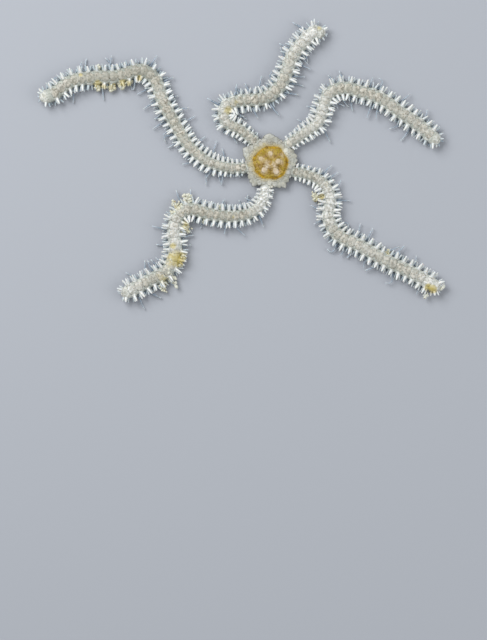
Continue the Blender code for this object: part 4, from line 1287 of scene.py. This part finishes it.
def jaw_radius(share):
    """How far from the mouth's middle a share of the way from the wall to the point is."""
    return JAW_OUTER_RADIUS + (JAW_TIP_RADIUS - JAW_OUTER_RADIUS) * share


def jaw_body():
    """A wedge along the first axis: a squared oval that narrows inwards, with a groove along its middle."""
    share = np.linspace(0.0, 1.0, JAW_ROWS)[:, None]
    angle = np.linspace(-math.pi, math.pi, JAW_COLUMNS, endpoint=False)
    closing = 0.1 + 0.9 * np.sqrt(1.0 - np.clip((share - 0.9) / 0.1, 0.0, 1.0) ** 2)
    high = JAW_HEIGHT * (1.0 - JAW_SLOPE * share) / 2
    cosine, sine = np.cos(angle), np.sin(angle)
    groove = 1.0 - JAW_GROOVE * np.exp(-(cosine / JAW_GROOVE_WIDTH) ** 2) * (1.0 - share)
    bulge = closing * (1.0 + JAW_RIDGES * np.sin(share * JAW_RIDGE_TURNS))
    across = jaw_half_width(share) * squarer(cosine, JAW_POWER) * bulge
    level = high + high * closing * squarer(sine, JAW_POWER) * groove
    points = np.stack(np.broadcast_arrays(jaw_radius(share), across, level), axis=-1)
    return with_ends(points), tube_faces(JAW_ROWS, JAW_COLUMNS)


def jaw_pegs():
    """Papillae along both sides near the sole, and teeth stacked at the point."""
    share, side = (part.ravel() for part in np.meshgrid(np.linspace(0.12, 0.9, PAPILLAE), (-1.0, 1.0)))
    level = np.full(len(share), PAPILLA_LEVEL)
    root = np.column_stack([jaw_radius(share), side * jaw_half_width(share) * 0.7, level])
    way = np.column_stack([np.full(len(share), -0.75), side * 0.65, np.zeros(len(share))]) * PAPILLA_LENGTH
    tooth_root = np.tile((JAW_TIP_RADIUS + 0.15 * MM, 0.0, 0.0), (TEETH, 1))
    tooth_root[:, 2] = np.linspace(0.25, 0.8, TEETH) * MM
    tooth_way = np.tile((-TOOTH_LENGTH, 0.0, 0.0), (TEETH, 1))
    root, way = np.vstack([root, tooth_root]), np.vstack([way, tooth_way])
    width = np.full(len(root), PEG_RADIUS)
    paths = root[:, None] + way[:, None] * PEG_STATIONS[:, None]
    return rods(paths, width[:, None] * PEG_PROFILE, width * 0.3)


def make_jaw(number, degrees):
    """One jaw turned to its place in the mouth."""
    body, body_faces = jaw_body()
    pegs, peg_faces = jaw_pegs()
    local = np.vstack([body, pegs])
    angle = math.radians(degrees)
    x = DISC_PLACE[0] + local[:, 0] * math.cos(angle) - local[:, 1] * math.sin(angle)
    y = DISC_PLACE[1] + local[:, 0] * math.sin(angle) + local[:, 1] * math.cos(angle)
    points = np.column_stack([x, y, np.maximum(local[:, 2], 0.02 * MM)])
    faces = body_faces + [block + len(body) for block in peg_faces]
    values = {"peg": np.repeat((0.0, 1.0), (len(body), len(pegs)))}
    return make_piece("jaw_%d_skin" % number, points, faces, values)


clockwise = sorted(between_arms, key=lambda angle: (ARM_DIRECTIONS["arm_1"] - angle) % 360.0)
jaws = {"jaw_%d" % number: make_jaw(number, angle) for number, angle in enumerate(clockwise, start=1)}
tell(jaws)

# %% [markdown]
# The finishes are made of nodes. Most effects are needed by more than one material, so each is a group
# with named inputs and outputs, built once: a mottle of two tones, a fine chalky grain, the shade in a
# groove, a broken stain and specks. They read places on the piece in metres, so their sizes are real.


# %% Helpers: nodes and groups
def add_node(tree, kind, inputs=None, **settings):
    """A node with its settings, and its inputs by name set to a value or linked to a socket."""
    node = tree.nodes.new(kind)
    for label, value in settings.items():
        setattr(node, label, value)
    for label, value in (inputs or {}).items():
        if isinstance(value, bpy.types.NodeSocket):
            tree.links.new(value, node.inputs[label])
        else:
            node.inputs[label].default_value = value
    return node


def as_colour(value):
    """Three numbers as a colour with full alpha. Anything else stays as it is."""
    return (*value, 1.0) if isinstance(value, tuple) else value


def mixed(tree, factor, first, second, blend="MIX"):
    """The colour between two colours, or their blend, by the factor. Each may be a value or a socket."""
    given = {0: factor, 6: as_colour(first), 7: as_colour(second)}
    return add_node(tree, "ShaderNodeMix", given, data_type="RGBA", blend_type=blend).outputs[2]


def worked(tree, operation, *numbers, clamp=False):
    """The result of a Math node."""
    given = dict(enumerate(numbers))
    return add_node(tree, "ShaderNodeMath", given, operation=operation, use_clamp=clamp).outputs[0]


def noise_at(tree, place, scale, detail, **more):
    """Soft noise from 0 to 1 at a place, with so many waves to a metre."""
    given = {"Vector": place, "Scale": scale, "Detail": detail, **more}
    return add_node(tree, "ShaderNodeTexNoise", given).outputs["Fac"]


def new_group(name, inputs, outputs):
    """An empty shader group with these sockets. Returns the group, its inputs and its output node."""
    group = bpy.data.node_groups.new(name, "ShaderNodeTree")
    kinds = {"colour": "NodeSocketColor", "number": "NodeSocketFloat", "vector": "NodeSocketVector"}
    for label, (kind, value) in inputs.items():
        socket = group.interface.new_socket(label, in_out="INPUT", socket_type=kinds[kind])
        if value is not None:
            socket.default_value = value
    for label, kind in outputs.items():
        group.interface.new_socket(label, in_out="OUTPUT", socket_type=kinds[kind])
    return group, group.nodes.new("NodeGroupInput").outputs, group.nodes.new("NodeGroupOutput").inputs


def sent(group, result, **outputs):
    """The group, once its outputs are linked by name."""
    for label, value in outputs.items():
        group.links.new(value, result[label])
    return group


def use_group(tree, group, **inputs):
    """The outputs of a group placed in a tree. Three numbers given to an input stand for a colour."""
    node = tree.nodes.new("ShaderNodeGroup")
    node.node_tree = group
    for label, value in inputs.items():
        if isinstance(value, bpy.types.NodeSocket):
            tree.links.new(value, node.inputs[label])
        else:
            node.inputs[label].default_value = as_colour(value)
    return node.outputs


# %% [markdown]
# The mottle is noise turned into a soft mask between two tones. Its size is given in millimetres, and the
# noise wants waves per metre, so the group divides a thousand by it.


# %% Group: mottle of two tones
def mottle_group():
    """Noise of a given size, sharpened by the contrast, chooses between a light and a dark tone."""
    inputs = {"Place": ("vector", None), "Size": ("number", 0.8), "Contrast": ("number", 2.5),
              "Light": ("colour", None), "Dark": ("colour", None)}
    group, given, result = new_group("mottle", inputs, {"Colour": "colour", "Mask": "number"})
    scale = worked(group, "DIVIDE", 1000.0, given["Size"])
    noise = noise_at(group, given["Place"], scale, 4.0, Roughness=0.62)
    centred = worked(group, "SUBTRACT", noise, 0.5)
    mask = worked(group, "ADD", worked(group, "MULTIPLY", centred, given["Contrast"]), 0.5, clamp=True)
    return sent(group, result, Colour=mixed(group, mask, given["Dark"], given["Light"]), Mask=mask)


mottle = mottle_group()
print("group", mottle.name)

# %% [markdown]
# The plates and spines are a sponge of chalk crystal. Up close their surface is a net of tiny pits, so
# the grain is cells and noise together. It gives a height for the bump and a roughness that varies.


# %% Group: chalky grain
def grain_group():
    """Height from small cells and finer noise, and a roughness that follows the noise."""
    inputs = {"Place": ("vector", None), "Size": ("number", 0.12), "Roughness": ("number", 0.55)}
    group, given, result = new_group("chalk grain", inputs, {"Height": "number", "Roughness": "number"})
    scale = worked(group, "DIVIDE", 1000.0, given["Size"])
    place = given["Place"]
    cells = add_node(group, "ShaderNodeTexVoronoi", {"Vector": place, "Scale": scale}).outputs["Distance"]
    noise = noise_at(group, place, worked(group, "MULTIPLY", scale, 0.45), 3.0)
    bumps = worked(group, "MULTIPLY", noise, 0.8)
    height = worked(group, "ADD", worked(group, "MULTIPLY", cells, 0.5), bumps)
    spread = worked(group, "MULTIPLY", worked(group, "SUBTRACT", noise, 0.5), 0.45)
    rough = worked(group, "ADD", given["Roughness"], spread, clamp=True)
    return sent(group, result, Height=height, Roughness=rough)


grain = grain_group()
print("group", grain.name)

# %% [markdown]
# Less light reaches the bottom of a groove, and dirt and soft skin lie there. The shade group multiplies
# a colour by a tint where the groove's mark is high.


# %% Group: shade in a groove
def shade_group():
    """A colour multiplied by a tint, by as much as the mark says."""
    inputs = {"Colour": ("colour", None), "Mark": ("number", 0.0), "Tint": ("colour", None)}
    group, given, result = new_group("groove shade", inputs, {"Colour": "colour"})
    shaded = mixed(group, given["Mark"], given["Colour"], given["Tint"], "MULTIPLY")
    return sent(group, result, Colour=shaded)


shade = shade_group()
print("group", shade.name)

# %% [markdown]
# The stains are patches of yellow film with ragged edges. The stain mark is a soft spot, so noise is
# taken from it, and what is left is made steeper. Two tones of olive yellow fill it, and a strong stain
# is a deeper yellow in its middle.


# %% Group: ragged stain
def stain_group():
    """The mark less some noise, made steeper, lays a mottled yellow film over a colour."""
    inputs = {"Place": ("vector", None), "Colour": ("colour", None), "Stain": ("number", 0.0)}
    group, given, result = new_group("ragged stain", inputs, {"Colour": "colour", "Mask": "number"})
    noise = noise_at(group, given["Place"], 1500.0, 3.0)
    left = worked(group, "SUBTRACT", worked(group, "MULTIPLY", given["Stain"], 2.2), noise)
    mask = worked(group, "MULTIPLY", left, 1.6, clamp=True)
    tones = use_group(group, mottle, Place=given["Place"], Size=0.9, Contrast=4.0,
                      Light=(0.62, 0.555, 0.30), Dark=(0.42, 0.34, 0.10))
    deep = worked(group, "MULTIPLY", worked(group, "POWER", given["Stain"], 5.0), 0.85)
    film = mixed(group, deep, tones["Colour"], (0.48, 0.365, 0.03))
    colour = mixed(group, worked(group, "MULTIPLY", mask, 0.85), given["Colour"], film)
    return sent(group, result, Colour=colour, Mask=mask)


stain = stain_group()
print("group", stain.name)

# %% [markdown]
# Small dark specks are strewn over the chalk. They are the cells of a Voronoi pattern whose own random
# number is high, shown only near each cell's point, so more than a third of the cells have a speck.


# %% Group: specks
def speck_group():
    """A colour multiplied by a tint near the points of some cells, spaced in millimetres."""
    inputs = {"Place": ("vector", None), "Colour": ("colour", None), "Spacing": ("number", 0.6),
              "Reach": ("number", 0.25), "Tint": ("colour", None)}
    group, given, result = new_group("specks", inputs, {"Colour": "colour", "Mask": "number"})
    scale = worked(group, "DIVIDE", 1000.0, given["Spacing"])
    cells = add_node(group, "ShaderNodeTexVoronoi", {"Vector": given["Place"], "Scale": scale}).outputs
    channels = add_node(group, "ShaderNodeSeparateColor", {"Color": cells["Color"]}).outputs
    chosen = worked(group, "GREATER_THAN", channels["Red"], 0.62)
    near = worked(group, "SUBTRACT", given["Reach"], cells["Distance"])
    mask = worked(group, "MULTIPLY", worked(group, "MULTIPLY", near, 9.0, clamp=True), chosen)
    specked = mixed(group, mask, given["Colour"], given["Tint"], "MULTIPLY")
    return sent(group, result, Colour=specked, Mask=mask)


specks = speck_group()
print("group", specks.name)

# %% [markdown]
# Every finish of the animal is a slightly wet, rough surface: chalk with a thin living skin over it. One
# class makes the shader and its bump, and each material sends it its own colour. A little light scatters
# under the surface. Those numbers are the same all over, so they sit on the shader itself.

# %% Helper: a new finish
GRAIN_SIZE = 0.2
BUMP_DEPTH = 0.05 * MM
SCATTER_RADII = (1.0, 0.8, 0.6)
SCATTER_DEPTH = 0.3 * MM
COAT_ROUGHNESS = 0.2
SPECK_REACH = 0.3


class Finish:
    """A material with its shader, grain and bump, and the colours that it can make."""

    def __init__(self, name, subsurface=0.12, specular=0.45, coat=0.22, alpha=1.0, bump=0.5, roughness=0.55):
        self.material = bpy.data.materials.new(name)
        self.material.use_nodes = True
        self.tree = self.material.node_tree
        self.shader = self.tree.nodes["Principled BSDF"]
        self.place = add_node(self.tree, "ShaderNodeTexCoord").outputs["Object"]
        fine = use_group(self.tree, grain, Place=self.place, Size=GRAIN_SIZE, Roughness=roughness)
        raised = {"Height": fine["Height"], "Strength": bump, "Distance": BUMP_DEPTH}
        normal = add_node(self.tree, "ShaderNodeBump", raised).outputs["Normal"]
        self.tree.links.new(normal, self.shader.inputs["Normal"])
        self.tree.links.new(fine["Roughness"], self.shader.inputs["Roughness"])
        constants = {"Metallic": 0.0, "Subsurface Weight": subsurface, "Subsurface Radius": SCATTER_RADII,
                     "Subsurface Scale": SCATTER_DEPTH, "Specular IOR Level": specular, "Coat Weight": coat,
                     "Coat Roughness": COAT_ROUGHNESS, "Alpha": alpha}
        for label, value in constants.items():
            self.shader.inputs[label].default_value = value

    def mark(self, label, factor=1.0, power=1.0):
        """The number that a mesh attribute gives, to a power, times a factor, kept between 0 and 1."""
        number = add_node(self.tree, "ShaderNodeAttribute", attribute_name=label).outputs["Fac"]
        if power != 1.0:
            number = worked(self.tree, "POWER", number, power)
        return worked(self.tree, "MULTIPLY", number, factor, clamp=True)

    def grouped(self, group, **inputs):
        """The colour that a group makes at each place of the piece."""
        return use_group(self.tree, group, Place=self.place, **inputs)["Colour"]

    def mottled(self, size, contrast, light, dark):
        """A mottle of two tones, whose patches have a size in millimetres."""
        return self.grouped(mottle, Size=size, Contrast=contrast, Light=light, Dark=dark)

    def covered(self, colour, *layers):
        """A colour under layers, each given as the mark that lays it on, its factor and its colour."""
        for label, factor, layer in layers:
            colour = mixed(self.tree, self.mark(label, factor), colour, layer)
        return colour

    def specked(self, colour, spacing, tint):
        """A colour with specks, spaced in millimetres."""
        return self.grouped(specks, Colour=colour, Spacing=spacing, Reach=SPECK_REACH, Tint=tint)

    def stained(self, colour):
        """A colour with the ragged stain over it."""
        return self.grouped(stain, Colour=colour, Stain=self.mark("stain"))

    def of_colour(self, colour):
        """Sends the colour to the shader and gives the material."""
        self.tree.links.new(colour, self.shader.inputs["Base Color"])
        return self.material


# %% [markdown]
# Between the plates the arm's skin is a thin grey-green layer. The plates are chalk: creamy white on the
# flanks, pinkish beige along the back with paler edges, tan on the sole, whiter near the disc. Small dark
# specks are strewn over all of them.

# %% Finishes of the arms
def skin_finish():
    """Grey-green, lighter on the ribs, near the disc and at the tip, with stains."""
    finish = Finish("arm skin", coat=0.3, roughness=0.45)
    colour = finish.mottled(0.5, 3.0, (0.54, 0.56, 0.50), (0.26, 0.29, 0.25))
    knob = finish.mottled(0.6, 6.0, (0.80, 0.80, 0.75), (0.36, 0.36, 0.31))
    colour = finish.covered(colour, ("rib", 0.3, (0.58, 0.58, 0.53)), ("white", 0.6, (0.66, 0.67, 0.64)),
                            ("white", -0.6, (0.28, 0.29, 0.25)), ("tip", 0.85, knob))
    return finish.of_colour(finish.stained(colour))


def plate_finish():
    """Cream flanks, beige back and tan sole, with a tone to each plate, pale edges and dark specks."""
    finish = Finish("arm plates")
    flank = finish.mottled(0.75, 5.0, (0.68, 0.69, 0.65), (0.30, 0.33, 0.29))
    back = finish.mottled(0.7, 6.5, (0.59, 0.555, 0.475), (0.21, 0.195, 0.15))
    chalk = finish.mottled(0.6, 6.0, (0.88, 0.89, 0.87), (0.42, 0.42, 0.38))
    sole = finish.mottled(0.4, 3.0, (0.62, 0.52, 0.40), (0.44, 0.33, 0.23))
    blotch = use_group(finish.tree, mottle, Place=finish.place, Size=2.4, Contrast=6.0)["Mask"]
    back = mixed(finish.tree, worked(finish.tree, "MULTIPLY", blotch, 0.5), back, (0.37, 0.38, 0.32))
    back = mixed(finish.tree, finish.mark("edge", 0.3, power=5.0), back, (0.62, 0.62, 0.57))
    colour = finish.covered(flank, ("back", 1.0, back), ("tone", 0.4, (0.36, 0.36, 0.32)),
                            ("white", 0.95, chalk), ("white", -0.8, (0.30, 0.30, 0.25)),
                            ("tip", 0.7, chalk), ("sole", 1.0, sole))
    return finish.of_colour(finish.stained(finish.specked(colour, 0.55, (0.46, 0.42, 0.36))))


arm_skin_finish = skin_finish()
arm_plate_finish = plate_finish()
print("finishes", arm_skin_finish.name, "and", arm_plate_finish.name)


# %% Finishes of the spines, the feet and the crumbs
def spine_finish():
    """White where the mark is high and bluish below, paler towards the tip, with stains."""
    finish = Finish("spine chalk", subsurface=0.2, bump=0.4, roughness=0.4)
    white = finish.mottled(0.4, 2.4, (0.84, 0.84, 0.82), (0.62, 0.65, 0.64))
    clear = finish.mottled(0.5, 2.4, (0.50, 0.58, 0.62), (0.24, 0.33, 0.40))
    opaque = worked(finish.tree, "ADD", finish.mark("white"), finish.mark("reach", 0.2), clamp=True)
    return finish.of_colour(finish.stained(mixed(finish.tree, opaque, clear, white)))


def foot_finish():
    """Clear bluish flesh, whiter at its knob."""
    finish = Finish("tube foot flesh", subsurface=0.3, coat=0.4, alpha=0.82, bump=0.15, roughness=0.35)
    flesh = finish.mottled(0.9, 2.4, (0.43, 0.50, 0.57), (0.22, 0.29, 0.38))
    knob = finish.mark("reach", 0.8, power=5.0)
    return finish.of_colour(mixed(finish.tree, knob, flesh, (0.70, 0.75, 0.77)))


def crumb_finish():
    """Straw yellow to pale cream by crumb, with brown specks."""
    finish = Finish("sponge crumbs", coat=0.1, roughness=0.7)
    straw = finish.mottled(0.5, 4.0, (0.68, 0.63, 0.36), (0.40, 0.34, 0.12))
    colour = finish.covered(straw, ("tone", 0.8, (0.66, 0.65, 0.52)), ("pale", 0.9, (0.76, 0.77, 0.70)))
    return finish.of_colour(finish.specked(colour, 0.7, (0.42, 0.26, 0.12)))


spine_chalk = spine_finish()
foot_flesh = foot_finish()
sponge_crumbs = crumb_finish()
print("finishes", spine_chalk.name, foot_flesh.name, sponge_crumbs.name)

# %% [markdown]
# The body of the disc shows between its scales as dark seams, and whole on the underside, which is tan
# with whitish shields; its breathing slits and mouth get painted shade. The scales are cream and grey outside
# the ring and amber inside. The ring is the most saturated part. Five pale scales and the middle one are
# pinkish cream, and painted shade of dark ochre lies between some of them.


# %% Finishes of the disc and the jaws
def body_finish():
    """Grey skin, ochre inside the ring, tan below, pale shields, and painted shade in the slits and mouth."""
    finish = Finish("disc body", coat=0.15, roughness=0.5)
    top = mixed(finish.tree, finish.mark("inside"), (0.40, 0.40, 0.35), (0.38, 0.24, 0.05))
    below = finish.mottled(0.6, 3.0, (0.62, 0.52, 0.40), (0.40, 0.29, 0.20))
    # Painted shade: near-black brown where the dark mark is, in the slits and the mouth.
    colour = finish.covered(top, ("under", 1.0, below), ("shield", 1.0, (0.68, 0.65, 0.58)),
                            ("dark", 1.0, (0.20, 0.11, 0.04)))
    return finish.of_colour(colour)


def scale_finish():
    """Cover, amber field, ring, pale scales, painted shade patches and bright spots, mixed by their marks."""
    finish = Finish("disc scales", specular=0.3, coat=0.08, roughness=0.5)
    tree = finish.tree
    cover = finish.mottled(0.5, 3.2, (0.56, 0.56, 0.51), (0.30, 0.31, 0.27))
    amber = finish.mottled(1.2, 5.5, (0.46, 0.32, 0.07), (0.24, 0.14, 0.006))
    ring = finish.mottled(1.4, 4.0, (0.48, 0.29, 0.002), (0.16, 0.09, 0.001))
    cream = finish.mottled(0.7, 3.5, (0.66, 0.57, 0.45), (0.50, 0.39, 0.23))
    amber = finish.covered(amber, ("tone", 0.5, (0.40, 0.31, 0.025)), ("tone", -0.45, (0.50, 0.33, 0.16)),
                           ("yellow", 0.75, (0.37, 0.265, 0.012)), ("light", 0.9, (0.54, 0.45, 0.31)))
    cover = finish.covered(cover, ("tone", 0.5, (0.46, 0.44, 0.34)), ("tone", -0.45, (0.54, 0.53, 0.51)),
                           ("halo", 0.85, (0.43, 0.34, 0.13)))
    # The dark mark lays painted shade between the pale scales.
    colour = finish.covered(cover, ("inside", 1.0, amber), ("ring", 1.0, ring),
                            ("dark", 1.0, (0.15, 0.08, 0.006)))
    within = worked(tree, "SUBTRACT", 1.0, finish.mark("edge", 0.45, power=5.0))
    colour = mixed(tree, worked(tree, "MULTIPLY", finish.mark("pale"), within), colour, cream)
    colour = finish.covered(colour, ("grey", 0.8, (0.25, 0.24, 0.20)), ("rim", 0.35, (0.66, 0.68, 0.69)),
                            ("bright", 0.8, (0.76, 0.75, 0.66)))
    # Painted shade, with some dirt, darkens the seams at the edges of the scales.
    seam = finish.mark("edge", 0.35, power=8.0)
    colour = use_group(tree, shade, Colour=colour, Mark=seam, Tint=(0.60, 0.52, 0.40))["Colour"]
    return finish.of_colour(finish.stained(colour))


def jaw_finish():
    """Pinkish ivory, with whiter pegs."""
    finish = Finish("jaw ivory", subsurface=0.2, coat=0.15, roughness=0.45)
    ivory = finish.mottled(0.5, 2.4, (0.68, 0.53, 0.43), (0.48, 0.33, 0.24))
    return finish.of_colour(mixed(finish.tree, finish.mark("peg"), ivory, (0.74, 0.69, 0.60)))


disc_body = body_finish()
disc_scale_finish = scale_finish()
jaw_ivory = jaw_finish()
print("finishes", disc_body.name, disc_scale_finish.name, jaw_ivory.name)

# %% [markdown]
# Each finished piece takes its material, hides the solids that it stands for, and rides on the model's
# one body.


# %% Dress the model
def dress(piece, material, slot, *nodes):
    """Gives a piece its finish and its place in the model."""
    piece.data.materials.append(material)
    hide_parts(*nodes)
    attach(piece, "root")


dress(disc, disc_body, "disc", "disc")
dress(scales, disc_scale_finish, "disc")
for name, piece in jaws.items():
    dress(piece, jaw_ivory, "jaws", name)
for name in arms:
    lengths = [name + "_" + length for length in ("root", "inner", "outer", "tip")]
    dress(arm_skins[name], arm_skin_finish, "arms", *lengths)
    dress(plates[name], arm_plate_finish, "arms")
    dress(spines[name], spine_chalk, "arms")
    dress(feet[name], foot_flesh, "arms")
for piece in crumbs.values():
    dress(piece, sponge_crumbs, "arms")
groups = (jaws, arm_skins, plates, spines, feet, crumbs)
finished = [disc, scales, *(piece for group in groups for piece in group.values())]
sizes = {piece.name: len(piece.data.loops) - 2 * len(piece.data.polygons) for piece in finished}
print("triangles", sum(sizes.values()), "and the largest piece has", max(sizes.values()))

# %% [markdown]
# The photo's black ground gives way to a plain pale floor. The key light comes from the upper left at
# about 45 degrees, so that plates and spines throw short shadows, a weaker one fills in from the right,
# and a grey sky lights the rest.

# %% Floor, lights and sky
FLOOR_SIZE = 3.0
FLOOR_COLOUR = (0.40, 0.42, 0.46)
SKY_COLOUR = (0.95, 0.98, 1.0)
SKY_STRENGTH = 0.45


def make_floor():
    """A large square at the floor's level, with a plain pale finish."""
    half = FLOOR_SIZE / 2
    corners = [(-half, -half, 0.0), (half, -half, 0.0), (half, half, 0.0), (-half, half, 0.0)]
    mesh = bpy.data.meshes.new("floor")
    mesh.from_pydata(corners, [], [(0, 1, 2, 3)])
    floor = bpy.data.objects.new("floor", mesh)
    bpy.context.scene.collection.objects.link(floor)
    material = bpy.data.materials.new("floor paper")
    material.use_nodes = True
    shader = material.node_tree.nodes["Principled BSDF"]
    shader.inputs["Base Color"].default_value = as_colour(FLOOR_COLOUR)
    shader.inputs["Roughness"].default_value = 0.9
    shader.inputs["Specular IOR Level"].default_value = 0.1
    mesh.materials.append(material)
    floor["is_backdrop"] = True
    return floor


def add_light(name, place, size, power):
    """A square area light at a place, turned towards the star."""
    lamp = bpy.data.lights.new(name, "AREA")
    lamp.size = size
    lamp.energy = power
    light = bpy.data.objects.new(name, lamp)
    light.location = place
    light.rotation_euler = (light.location * -1.0).to_track_quat("-Z", "Y").to_euler()
    bpy.context.scene.collection.objects.link(light)
    return light


floor = make_floor()
add_light("key", place=(-0.28, 0.26, 0.42), size=0.36, power=2.9)
add_light("fill", place=(0.45, -0.10, 0.35), size=0.4, power=1.0)
world = bpy.data.worlds.new("sky")
world.use_nodes = True
world.node_tree.nodes["Background"].inputs["Color"].default_value = as_colour(SKY_COLOUR)
world.node_tree.nodes["Background"].inputs["Strength"].default_value = SKY_STRENGTH
bpy.context.scene.world = world
bpy.context.scene.view_settings.view_transform = "Standard"
print("lights", [thing.name for thing in bpy.data.lights])

# %% [markdown]
# The box of everything that is shown, but the floor, is worked out and printed in millimetres. The
# finished model stays inside the box of the solids, apart from a little.

# %% The box of the finished model
finished_box = [list(corner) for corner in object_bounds()]
reached = [[round(value / MM, 2) for value in corner] for corner in finished_box]
print("the finished model reaches", reached, "mm")
